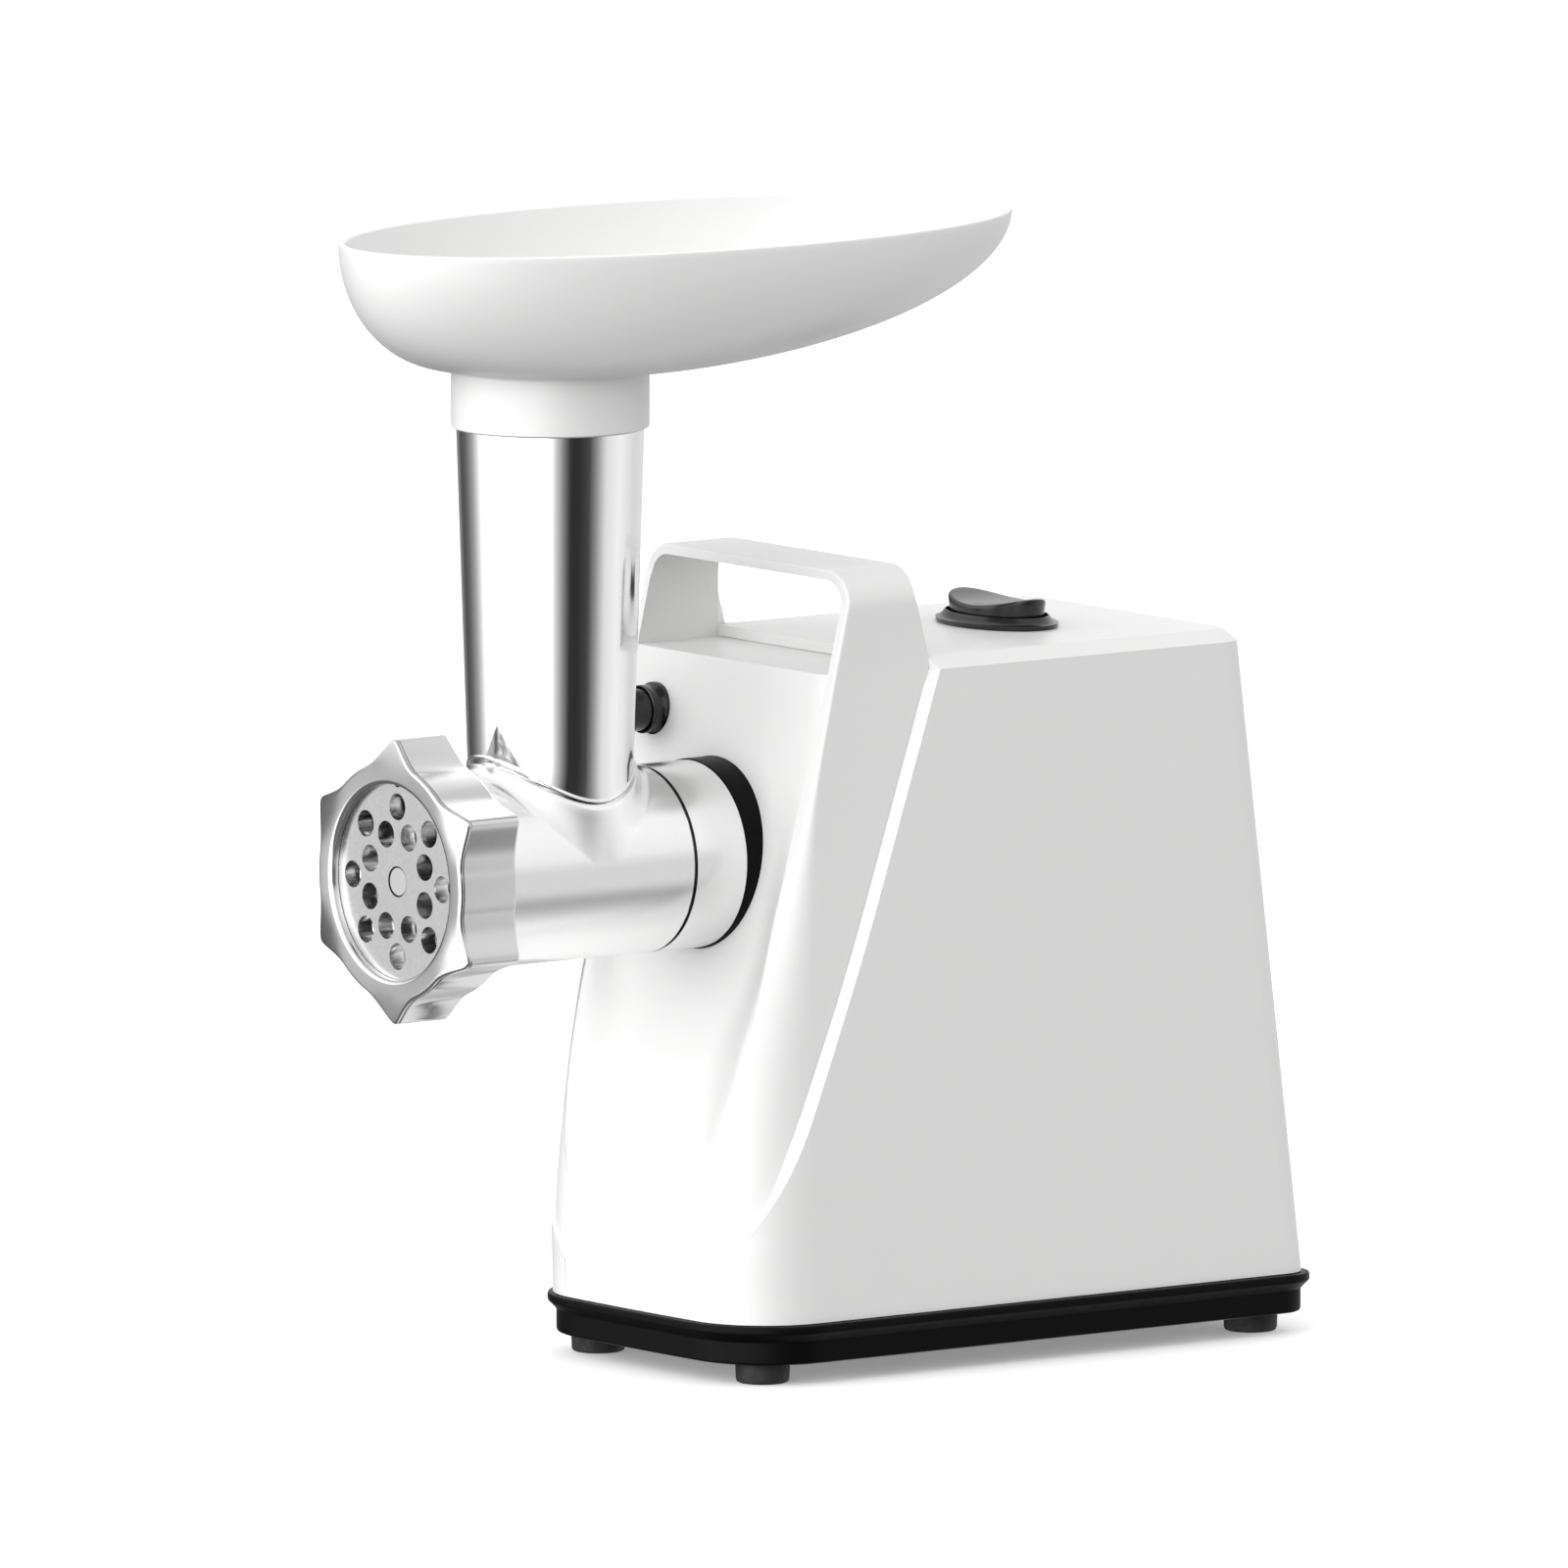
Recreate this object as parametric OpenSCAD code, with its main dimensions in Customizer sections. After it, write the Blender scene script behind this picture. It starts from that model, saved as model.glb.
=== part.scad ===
// Electric meat grinder: motor housing, gear train, grinding head and feed tray.
// Lengths are in millimetres. The floor is z = 0, +Z points up and the grinding head points to -Y.
// Distances along Y are counted from the face of the ring nut, and placed() moves them to the frame.

/* [Body] */
// Height of the grinding axis above the floor
axis_z = 150; // [147:1:154]
// Height of the top of the rear housing
body_top_z = 209; // [205:1:216]
// Width of the rear housing at its foot
body_foot_w = 112; // [110:1:120]
// Width of the rear housing at its shoulder
body_top_w = 105.4; // [104:0.2:110]
// Wall of the housing shells
wall_t = 3.2; // [2.6:0.1:3.6]
// Distance from the ring nut's face to the front panel, at the grinding axis
front_y = 113.6; // [112:0.2:116]
// Distance that the front panel goes back for each millimetre of height
front_lean = 0.155; // [0.13:0.005:0.16]
// Depth of the rear housing at its foot
body_foot_l = 201.4; // [199:0.2:210]
// Distance that the rear wall comes forward for each millimetre of height
rear_lean = 0.115; // [0.08:0.005:0.12]
// Radius of the front corners of the housing
front_corner_r = 17; // [14:0.5:17]
// Radius of the rear corners of the housing
rear_corner_r = 10; // [8:0.5:14]
// Distance that the middle of the front stands ahead of its corners
front_bow = 4.5; // [3:0.1:5.5]
// Width of the bevel round the top of the rear housing
bevel_w = 4.3; // [3:0.1:6]
// Height of the bevel round the top of the rear housing
bevel_h = 3.6; // [3:0.1:5]
// Distance from the ring nut's face to the seam, at the top of the housing
seam_top_y = 157; // [154:0.5:160]
// Distance from the ring nut's face to the foot of the seam
seam_foot_y = 98; // [97:0.5:100]
// Height of the foot of the seam
seam_foot_z = 48; // [45:0.5:50]
// Bow of the seam
seam_bow = 0.0003; // [0.0002:0.00002:0.0005]
// Gap between housing pieces that nest
fit_gap = 0.1; // [0.05:0.01:0.15]

/* [Handle] */
// Height of the top of the carrying strap
strap_top_z = 235.5; // [230:0.5:250]
// Thickness of the carrying strap
strap_t = 3.2; // [2.6:0.1:3.6]
// Outer corner radius of the strap
strap_r = 11; // [8:0.5:14]
// Width of the strap at its top
strap_w = 26; // [22:0.5:30]
// Distance that the strap stands ahead of the front panel
strap_proud = 5; // [3:0.25:6]
// Overlap of the strap behind the seam
strap_tongue = 5; // [4:0.5:5]

/* [Base] */
// Height of the top of the base flange
base_top_z = 18; // [17:0.5:20]
// Thickness of the base flange
flange_t = 3; // [2.4:0.1:4]
// Overhang of the flange round the housing
flange_lip = 2.4; // [1.5:0.1:3]
// Distance from the flange's edge to the skirt
skirt_inset = 2.6; // [2:0.1:4]
// Thickness of the base's floor and skirt
base_t = 3; // [2.4:0.1:3.6]
// Height of the feet
foot_h = 6.3; // [5:0.1:8]
// Diameter of a foot
foot_d = 16; // [13:0.5:18]
// Distance between the feet across the base
foot_span_x = 80; // [70:1:84]
// Distance from the feet to the front and rear ends of the base
foot_end = 14; // [13:0.5:20]

/* [Grinding head] */
// Outer diameter of the barrel
barrel_d = 54.7; // [54:0.1:56]
// Wall of the barrel
barrel_t = 2.4; // [2:0.1:2.6]
// Distance from the ring nut's face to the seam between barrel and collar
barrel_rear_y = 90.7; // [90:0.1:92]
// Depth of the ring nut
ring_l = 20.5; // [20:0.1:24]
// Wall of the ring nut in its valleys
ring_wall_t = 2.74; // [2:0.02:4]
// Height of the ring nut's points above its valleys
ring_point_h = 6.7; // [5:0.1:9]
// Overlap of the ring nut's lip on the cutting plate
ring_lip_w = 1.5; // [1:0.1:2.5]
// Thickness of the ring nut's front lip
ring_lip_t = 2.9; // [2.4:0.1:4.5]
// Diameter of the cutting plate
plate_d = 60; // [58.6:0.1:60.4]
// Thickness of the cutting plate
plate_t = 5; // [4:0.1:5.4]
// Diameter of the holes in the cutting plate
plate_hole_d = 7.8; // [6:0.1:8]
// Radius of the outer row of holes, as a share of the plate's diameter
plate_row_share = 0.3633; // [0.355:0.001:0.37]
// Radius of the inner row of holes, as a share of the plate's diameter
plate_inner_share = 0.24; // [0.23:0.002:0.245]
// Thickness of the knife
knife_t = 5.5; // [4:0.1:6]
// Radial clearance of turning and sliding fits
run_gap = 0.06; // [0.03:0.01:0.09]

/* [Feed tube and tray] */
// Distance from the ring nut's face to the axis of the feed tube
tube_y = 58; // [57:0.5:59]
// Outer diameter of the feed tube at the tray's collar
tube_top_d = 54.6; // [53:0.1:56]
// Outer diameter of the feed tube at the top of the barrel
tube_foot_d = 48; // [46:0.1:49]
// Distance that the boss under the feed tube stands out from the barrel
boss_h = 4.6; // [3:0.1:6]
// Width of the boss's rim round the feed tube
boss_lip = 1.7; // [1:0.1:3]
// Wall of the feed tube
tube_t = 2.2; // [1.8:0.1:2.4]
// Height of the lower edge of the tray's collar
collar_z = 278.5; // [270:0.5:290]
// Height of the tray's collar
collar_h = 17.5; // [14:0.5:20]
// Wall of the tray and its collar
tray_t = 2.4; // [2:0.1:2.8]
// Width of the tray's rim
tray_w = 122; // [112:1:130]
// Length of the tray's rim
tray_l = 226; // [210:1:240]
// Depth of the tray's bowl
tray_h = 38; // [32:0.5:44]
// Distance from the tray's front end to the ring nut's face
tray_ahead = 9.5; // [5:0.5:14]
// Width of the tray's flat floor
tray_floor_w = 65; // [62:0.5:70]
// Distance from the ring nut's face to the front end of the tray's flat floor
tray_floor_start = 28.4; // [26:0.2:29]
// Distance from the ring nut's face to the rear end of the tray's flat floor
tray_floor_end = 92; // [90:0.5:100]

/* [Switch and release button] */
// Distance from the seam at the top of the housing to the middle of the switch
switch_back = 63; // [58:0.5:68]
// Length of the rocker
rocker_l = 37.6; // [34:0.2:40]
// Width of the rocker
rocker_w = 21.7; // [20:0.1:24]
// Height of the rocker's ends above the housing
rocker_h = 9.8; // [8:0.1:11]
// Dip in the middle of the rocker
rocker_dip = 3; // [2:0.1:3.5]
// Height of the switch bezel
bezel_h = 3.5; // [3:0.1:4]
// Gap round the rocker
rocker_gap = 0.8; // [0.7:0.05:1]
// Distance of the release button to the left of the grinding axis
button_x = 32.7; // [31.5:0.1:33.5]
// Distance of the release button above the grinding axis
button_up = 38.4; // [37:0.1:39.5]
// Diameter of the release button
button_d = 12.4; // [11:0.1:13]
// Length of the button in front of the panel
button_l = 14; // [12:0.5:16]
// Travel of the release button
button_travel = 3; // [2:0.1:3]

/* [Gear train] */
// Teeth of each small gear
pinion_teeth = 12; // [12:1:13]
// Teeth of each large gear
wheel_teeth = 48; // [46:1:49]
// Module of the motor's gear stage
module_1 = 0.8; // [0.78:0.01:0.82]
// Module of the middle gear stage
module_2 = 1; // [0.98:0.01:1.02]
// Module of the output gear stage
module_3 = 1.25; // [1.22:0.01:1.27]
// Thinning of a tooth for backlash
backlash = 0.16; // [0.1:0.02:0.24]
// Diameter of the drive shaft
shaft_d = 16; // [14:0.2:17]
// Diameter of the idler pins
idler_pin_d = 6; // [5:0.1:6.4]
// Wall of the gearbox
gearbox_t = 3; // [2.6:0.1:3.2]

/* [Motor] */
// Height of the motor's axis above the floor
motor_z = 80; // [78:0.5:82]
// Width of the motor's lamination stack
stack_w = 60; // [58:0.5:62]
// Length of the motor's lamination stack
stack_l = 44; // [36:0.5:46]
// Diameter of the armature
armature_d = 33.6; // [32:0.1:34]
// Diameter of the rotor shaft
rotor_d = 8; // [7:0.1:8.4]

/* [Hidden] */
$fn = 64;
// Thickness of the slices that hulls join
skin = 0.01;
// Extra length of cutters
over = 1;
// Width that clears the whole object
reach = 400;

// Levels and outlines of the housing
shoulder_z = body_top_z - bevel_h;
front_top_z = body_top_z - wall_t - fit_gap;
body_front_y = front_y + front_lean * (base_top_z - axis_z);
body_rear_y = body_front_y + body_foot_l;
base_front_y = body_front_y - flange_lip;
base_rear_y = body_rear_y + flange_lip;
seam_slope = (seam_top_y - seam_foot_y) / (body_top_z - seam_foot_z);
seam_steps = 10;
bow_disc_r = 40;
tray_front_y = -tray_ahead;
tray_rear_y = tray_l - tray_ahead;
frame_mid_y = (tray_front_y + max(base_rear_y, tray_rear_y)) / 2;
function y_front(z) = front_y + front_lean * (z - axis_z);
function y_rear(z) = body_rear_y - rear_lean * (z - base_top_z);
function half_w(z) = (body_foot_w - (body_foot_w - body_top_w)
    * (z - base_top_z) / (shoulder_z - base_top_z)) / 2;
function seam_y(z) = seam_foot_y + (z - seam_foot_z) * (seam_slope + seam_bow * (body_top_z - z));

// Strap: its outer faces nest inside the rear housing, and the front panel nests inside it
strap_half_w = half_w(shoulder_z) - wall_t - fit_gap;
panel_top_half_w = strap_half_w - strap_t - fit_gap;
panel_taper = 0.016;
panel_corner_r = 4;
front_depth = 10;
strap_tip_up = 2;
strap_tip_z = seam_foot_z + strap_tip_up;
strap_knee_z = 104;
strap_tip_r = 13;
strap_knee_r = 7;
strap_crisp_r = 2;
strap_neck_drop = 8;
strap_neck_back = 4.7;
strap_neck_y = y_front(front_top_z) + strap_neck_back;
strap_tongue_z = 124;
tongue_step = 2;
function panel_half_w(z) = panel_top_half_w - panel_taper * (front_top_z - z);
function strap_out(z) = half_w(min(z, shoulder_z)) - wall_t - fit_gap;

// Base
skirt_z = foot_h;
floor_z = skirt_z + base_t;
foot_stem_r = 3;
base_screw_in = [10, 35, 32];
base_screw_x = body_foot_w / 2 - base_screw_in[0];
base_screw_y = [body_front_y + base_screw_in[1], body_rear_y - base_screw_in[2]];
base_screw_r = 2;
base_head_r = 3.6;
base_head_h = 3;
base_boss_r = 5;
screw_gap = 0.05;
screw_clear = 0.2;
head_sink = 0.5;
post_h = 30;
post_cap = 4;
vent_count = 7;
vent_l = 40;
vent_w = 4;

// Grinding head, from front to rear
ring_tips = 6;
tip_round_r = 2.2;
point_angle = 17.5;
point_sink = 0.4;
flank_parts = 4;
cup_t = 2;
cup_r = plate_d / 2 + cup_t;
ring_bore_r = cup_r + run_gap;
ring_valley_d = 2 * (ring_bore_r + ring_wall_t);
ring_tip_d = ring_valley_d + 2 * ring_point_h;
ring_open_d = plate_d - 2 * ring_lip_w;
plate_row_r = plate_row_share * plate_d;
plate_inner_row_r = plate_inner_share * plate_d;
lip_gap = 0.1;
plate_float = 0.2;
knife_gap = 0.3;
plate_y = ring_lip_t + lip_gap;
plate_seat_y = plate_y + plate_t + plate_float;
knife_y = plate_y + plate_t + knife_gap;
auger_y = knife_y + knife_t;
barrel_r = barrel_d / 2;
bore_r = barrel_r - barrel_t;
cup_back = 0.9;
cup_short = 1.5;
cup_y = ring_lip_t + cup_back;
cup_end_y = ring_l - cup_short;
socket_gap = 0.2;
socket_t = 3.85;
spigot_r = barrel_r - socket_t;
spigot_short = 6;
spigot_end_y = front_y - spigot_short;
spigot_bore_r = 12;
lug_h = 1.5;
lug_r = spigot_r + lug_h;
lug_back = 7.3;
lug_y = barrel_rear_y + lug_back;
lug_w = 5;
lug_angle = 40;
lug_slack = 6;
lug_gap = 0.3;
sector_steps = 8;
key_r = 1.5;
key_in = 0.7;
key_sink = 2;
key_short = 0.4;
key_gap = 0.3;
pin_r = 4;
square_w = 9.5;
plate_bore_r = 4.5;
plate_row_count = 8;

// Socket that holds the head, and the lock
seal_w = 5;
seal_y = front_y - seal_w;
seal_bulge = 0.35;
seal_sink = 1.4;
seal_r = barrel_r + seal_bulge;
seal_seat_r = barrel_r - seal_sink;
disc_gap = 0.4;
disc_y = spigot_end_y + disc_gap;
disc_t = 4;
shaft_clear = 1;
disc_bore_r = shaft_d / 2 + shaft_clear;
lever_t = 3;
button_z = axis_z + button_up;
button_dir = atan2(button_up, -button_x);
button_r = button_d / 2;
button_bezel_t = 1.5;
button_bezel_r = button_r + button_bezel_t;
button_bezel_out = 3.5;
lock_r = 18;
lock_pin_r = 2.6;
lock_w = 7;
lock_gap = 0.3;
lock_depth = 3;
lever_room = 2;
lever_gap = 0.8;
lever_y = y_front(button_z + button_r) + wall_t + lever_gap;
spring_shut_l = 3.8;
spring_l = button_travel + spring_shut_l;
spring_wire_r = 0.4;
spring_turns = 4;

// Gearbox layers, from front to rear
gear_front_y = lever_y + lever_t + spring_l;
layer_gap = 1.5;
layer_3_y = gear_front_y + gearbox_t + layer_gap;
layer_3_w = 14;
layer_2_y = layer_3_y + layer_3_w + layer_gap;
layer_2_w = 10;
layer_1_y = layer_2_y + layer_2_w + layer_gap;
layer_1_w = 8;
cover_y = layer_1_y + layer_1_w + layer_gap;
cover_t = 4;
cover_end_y = cover_y + cover_t;
idler_float = 0.3;
idler_hub_t = 1.5;

// Gear axes in X and Z, each stage at its centre distance
teeth_sum = pinion_teeth + wheel_teeth;
reach_1 = module_1 * teeth_sum / 2;
reach_2 = module_2 * teeth_sum / 2;
reach_3 = module_3 * teeth_sum / 2;
idler_2_dir = -61.3;
drive_at = [0, axis_z];
motor_at = [0, motor_z];
idler_2_at = drive_at + reach_3 * [cos(idler_2_dir), sin(idler_2_dir)];
motor_to_2 = idler_2_at - motor_at;
motor_to_2_l = norm(motor_to_2);
idler_1_dir = atan2(motor_to_2[1], motor_to_2[0])
    - acos((reach_1 * reach_1 + motor_to_2_l * motor_to_2_l - reach_2 * reach_2)
        / (2 * reach_1 * motor_to_2_l));
idler_1_at = motor_at + reach_1 * [cos(idler_1_dir), sin(idler_1_dir)];
pressure_angle = 25;
addendum = 0.8;
dedendum = 1.05;
flank_steps = 3;

// A gear turned so that it meshes with the gear it follows
function heading(a, b) = atan2(b[1] - a[1], b[0] - a[0]);
function mesh_turn(turn, from, to, z_from, z_to) = let (dir = heading(from, to))
    dir + 180 - (turn - dir) * z_from / z_to + 180 / z_to;
wheel_1_turn = mesh_turn(0, motor_at, idler_1_at, pinion_teeth, wheel_teeth);
wheel_2_turn = mesh_turn(wheel_1_turn, idler_1_at, idler_2_at, pinion_teeth, wheel_teeth);
wheel_3_turn = mesh_turn(wheel_2_turn, idler_2_at, drive_at, pinion_teeth, wheel_teeth);

// Gearbox outline
gear_clear = 2;
case_t = 2.5;
wheel_half = wheel_teeth / 2 + addendum;
pocket_3_r = module_3 * wheel_half + gear_clear;
pocket_2_r = module_2 * wheel_half + gear_clear;
pocket_1_r = module_1 * wheel_half + gear_clear;
pinion_clear = 4;
pocket_0_r = module_1 * (pinion_teeth / 2 + addendum) + gear_clear + pinion_clear;
lug_screw_r = 1.6;
lug_screw_short = 8;
lug_head_h = 2;
case_lug_r = 5;
case_lug_out = 1;
case_lug_dirs = [45, 135, 215];
case_lug_low_dir = -40;
function around(at, r, dir) = at + r * [cos(dir), sin(dir)];
case_lugs = [for (dir = case_lug_dirs) around(drive_at, pocket_3_r + case_t + case_lug_out, dir),
    around(idler_1_at, pocket_1_r + case_t + case_lug_out, case_lug_low_dir)];
case_foot_x = [-10, 26];
case_foot_drop = 8;
case_foot_top_z = motor_z - case_foot_drop;
bush_t = 3;
bush_out = 4;
bush_r = shaft_d / 2 + bush_t;
bush_l = gearbox_t + bush_out;
end_gap = 0.5;
socket_screw_r = 1.5;
socket_head_r = 2.8;
socket_head_h = 1.4;
socket_screw_l = 13;
socket_screw_at = (barrel_r + spigot_r) / 2;
socket_screw_dirs = [10, 250, 310];

// Motor, from front to rear
bracket_t = 4;
bracket_y = cover_end_y;
motor_gap = 2;
fan_y = bracket_y + bracket_t + motor_gap;
fan_l = 10;
fan_r = 25;
fan_blades = 9;
coil_out = 8;
stack_y = fan_y + fan_l + coil_out + motor_gap;
stack_end_y = stack_y + stack_l;
brush_w = 6;
commutator_y = stack_end_y + coil_out + motor_gap + over;
commutator_l = 11;
commutator_r = 11;
rear_bracket_y = commutator_y + commutator_l + motor_gap;
rotor_tail = 3;
rotor_end_y = rear_bracket_y + bracket_t + rotor_tail;
air_gap = 0.7;
stack_bore_r = armature_d / 2 + air_gap;
coil_gap = 0.5;
coil_t = 4.3;
coil_x0 = stack_bore_r + coil_gap;
coil_x1 = coil_x0 + coil_t;
coil_z0 = 6;
coil_window_gap = 0.4;
bolt_in = 3.5;
bolt_at = stack_w / 2 - bolt_in;
bolt_r = 1.95;
bolt_hole_r = 2.1;
bolt_post_r = 3.4;
bolt_head_h = 2;
bolt_head_share = 1.7;
bracket_lip = 3;
bracket_half = stack_w / 2 + bracket_lip;
bearing_r = 9.5;
pinion_shaft_r = 2.5;
brush_back = 2.5;
brush_y = commutator_y + brush_back;
brush_wall_t = 2;
brush_holder_l = 15;
brush_holder_in = 2;
brush_gap = 0.1;

// Tray rings: an elliptical section that shrinks from the rim to the flat floor
tube_foot_z = axis_z + barrel_r;
spigot_step = 1.2;
tube_sink = 1.6;
tube_root = 8;
tube_end_z = collar_z + collar_h - tube_sink;
tube_spigot_r = tube_top_d / 2 - spigot_step;
boss_r = barrel_r + boss_h;
collar_gap = 0.3;
tray_rim_z = collar_z + collar_h + tray_h;
tray_points = 48;
tray_levels = 7;
function tube_r(z) =
    (tube_foot_d + (tube_top_d - tube_foot_d) * (z - tube_foot_z) / (collar_z - tube_foot_z)) / 2;

// Switch
switch_y = seam_top_y + switch_back;
oval_points = 48;
pivot_up = 0.8;
pivot_z = body_top_z + pivot_up;
pivot_r = 1.5;
pivot_short = 0.4;
pivot_end_gap = 0.2;
rocker_drop = 3.5;
neck_t = 1.5;
neck_drop = 6;
neck_foot_z = body_top_z - wall_t - neck_drop;
switch_body_h = 24;

// Cord gland in the rear wall
gland_x = -35;
gland_z = 45;
gland_bore_r = 3.5;
gland_neck_r = 5.8;
gland_flange_r = 8;
gland_flange_t = 2;
gland_l = 13;

// Moves a piece from distances behind the ring nut's face to the frame's origin under the middle
module placed() {
    translate([0, -frame_mid_y, 0]) children();
}

// Round bar along Y at a place in X and Z
module rod(at, y0, y1, r) {
    translate([at[0], y1, at[1]]) rotate([90, 0, 0]) cylinder(h = y1 - y0, r = r);
}

// Outline in X and Z, extruded from y0 to y1
module along_y(y0, y1) {
    translate([0, y1, 0]) rotate([90, 0, 0]) linear_extrude(y1 - y0) children();
}

// Outline in Y and Z, extruded across the whole width
module across(width) {
    rotate([90, 0, 90]) linear_extrude(width, center = true) children();
}

module oval(half_x, half_y, points = oval_points) {
    polygon([for (i = [0:points - 1]) [half_x * cos(360 * i / points), half_y * sin(360 * i / points)]]);
}

// Rounded rectangle in X and Y with a bowed front and its own front and rear corner radii
module plan(y0, y1, half, r0, r1) {
    flat = half - r0;
    bow_r = (flat * flat + front_bow * front_bow) / (2 * front_bow);
    intersection() {
        translate([0, y0 - front_bow + bow_r]) circle(bow_r);
        translate([-flat, y0 - front_bow]) square([2 * flat, front_bow + r0]);
    }
    translate([-half, y0 + r0]) square([2 * half, y1 - y0 - r0 - r1]);
    translate([-half + r1, y1 - r1]) square([2 * (half - r1), r1]);
    for (side = [-1, 1]) {
        translate([side * (half - r0), y0 + r0]) circle(r0);
        translate([side * (half - r1), y1 - r1]) circle(r1);
    }
}

// Corner discs of a rounded rectangle at one height, for a hull
module corner_discs(z, y0, y1, half, r0, r1) {
    for (side = [-1, 1]) {
        translate([side * (half - r0), y0 + r0, z]) cylinder(h = skin, r = r0, $fn = 32);
        translate([side * (half - r1), y1 - r1, z]) cylinder(h = skin, r = r1, $fn = 32);
    }
}

// The outer form of the whole housing, drawn in by an inset
module body_form(inset, foot_z) {
    top = body_top_z - inset;
    hull() {
        body_discs(foot_z, inset);
        body_discs(shoulder_z - inset / 2, inset);
        body_discs(top - skin, inset + bevel_w);
    }
}

module body_discs(z, inset) {
    front = y_front(z) + inset;
    corner_discs(z, front, y_rear(z) - inset, half_w(min(z, shoulder_z)) - inset,
        front_corner_r - inset, max(rear_corner_r - inset, 1));
    translate([0, front - front_bow + bow_disc_r, z]) cylinder(h = skin, r = bow_disc_r);
}

// Points of the seam from one height to another, moved back by a shift
function seam_points(z0, z1, shift) = [for (i = [0:seam_steps])
    let (z = z0 + (z1 - z0) * i / seam_steps) [seam_y(z) + shift, z]];

module behind_seam() {
    foot_z = seam_foot_z - fit_gap;
    across(reach) polygon(concat([[reach, 0], [0, 0], [0, foot_z], [seam_foot_y, foot_z]],
        seam_points(seam_foot_z, body_top_z + over, 0), [[reach, body_top_z + over]]));
}

module ahead_of_seam(shift) {
    across(reach) polygon(concat([[0, seam_foot_z]], seam_points(seam_foot_z, body_top_z + over, shift),
        [[0, body_top_z + over]]));
}

module rear_housing() color("white") placed() {
    difference() {
        union() {
            intersection() {
                difference() {
                    body_form(0, base_top_z);
                    body_form(wall_t, base_top_z - over);
                }
                behind_seam();
            }
            base_posts();
        }
        base_screw_bores(base_screw_r + screw_gap, base_top_z - over, base_top_z + post_h - post_cap);
        translate([0, switch_y, body_top_z - wall_t - over])
            linear_extrude(wall_t + 2 * over)
                oval(neck_half(rocker_l) + fit_gap, neck_half(rocker_w) + fit_gap);
        gland_place() cylinder(h = 3 * gland_l, r = gland_neck_r + screw_gap, center = true);
    }
}

// Half size of the switch's neck along one axis of its oval
function neck_half(size) = size / 2 + rocker_gap + neck_t;

// Screw posts that stand on the base, each with a rib to the side wall
module base_posts() {
    for (side = [-1, 1], y = base_screw_y) {
        translate([side * base_screw_x, y, base_top_z]) cylinder(h = post_h, r = base_boss_r);
        rib = body_foot_w / 2 - base_screw_x - wall_t / 2 - over;
        translate([side * (base_screw_x + rib / 2), y, base_top_z + post_h / 2])
            cube([rib, wall_t, post_h], center = true);
    }
}

module base_screw_bores(r, z0, z1) {
    for (side = [-1, 1], y = base_screw_y)
        translate([side * base_screw_x, y, z0]) cylinder(h = z1 - z0, r = r);
}

// Frame on the rear wall with Z pointing straight out of it
module gland_place() {
    translate([gland_x, y_rear(gland_z), gland_z]) rotate([-90 + atan(rear_lean), 0, 0]) children();
}

module front_form(inset, rear) {
    hull() {
        front_discs(seam_foot_z, inset, rear);
        front_discs(front_top_z - inset - skin, inset, rear);
    }
}

module front_discs(z, inset, rear) {
    corner_discs(z, y_front(z) + inset, rear, panel_half_w(z) - inset, panel_corner_r - inset, 1);
}

module front_housing() color("white") placed() {
    difference() {
        intersection() {
            difference() {
                front_form(0, seam_top_y + front_depth);
                front_form(wall_t, seam_top_y + front_depth + over);
            }
            ahead_of_seam(-fit_gap);
        }
        rod(drive_at, 0, gear_front_y, seal_r + fit_gap);
        rod([-button_x, button_z], 0, gear_front_y, button_bezel_r + screw_gap);
    }
}

module carry_handle() color("whitesmoke") placed() {
    intersection() {
        along_y(0, reach) strap_front();
        across(reach) strap_side();
        strap_limit();
    }
}

// Form that rounds the strap's front corners, from blunt at its tip to crisp at its top
module strap_limit() {
    rear = seam_top_y + strap_w;
    hull() {
        strap_discs(strap_tip_z, y_front(strap_tip_z), rear, strap_tip_r);
        strap_discs(strap_knee_z, y_front(strap_knee_z) - strap_proud, rear, strap_knee_r);
        strap_discs(shoulder_z, y_front(shoulder_z), rear, strap_crisp_r);
        strap_discs(strap_top_z, strap_neck_y - over, rear, strap_crisp_r);
    }
}

module strap_discs(z, front, rear, r) {
    corner_discs(z, front, rear, strap_out(z), r, strap_crisp_r);
}

// Front view of the strap: an inverted U
module strap_front() {
    difference() {
        strap_outline(strap_half_w, strap_top_z, strap_r)
            polygon([[-strap_out(strap_tip_z), strap_tip_z], [strap_out(strap_tip_z), strap_tip_z],
                [strap_half_w, shoulder_z], [-strap_half_w, shoulder_z]]);
        strap_outline(strap_half_w - strap_t, strap_top_z - strap_t, strap_r - strap_t)
            polygon([[-panel_half_w(0) - fit_gap, 0], [panel_half_w(0) + fit_gap, 0],
                [strap_half_w - strap_t, shoulder_z], [-strap_half_w + strap_t, shoulder_z]]);
    }
}

// A leg outline topped by a rectangle with round upper corners
module strap_outline(half, top, r) {
    children();
    translate([-half, shoulder_z - skin]) square([2 * half, top - r - shoulder_z + skin]);
    translate([-half + r, shoulder_z]) square([2 * (half - r), top - shoulder_z]);
    for (side = [-1, 1]) translate([side * (half - r), top - r]) circle(r);
}

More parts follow.
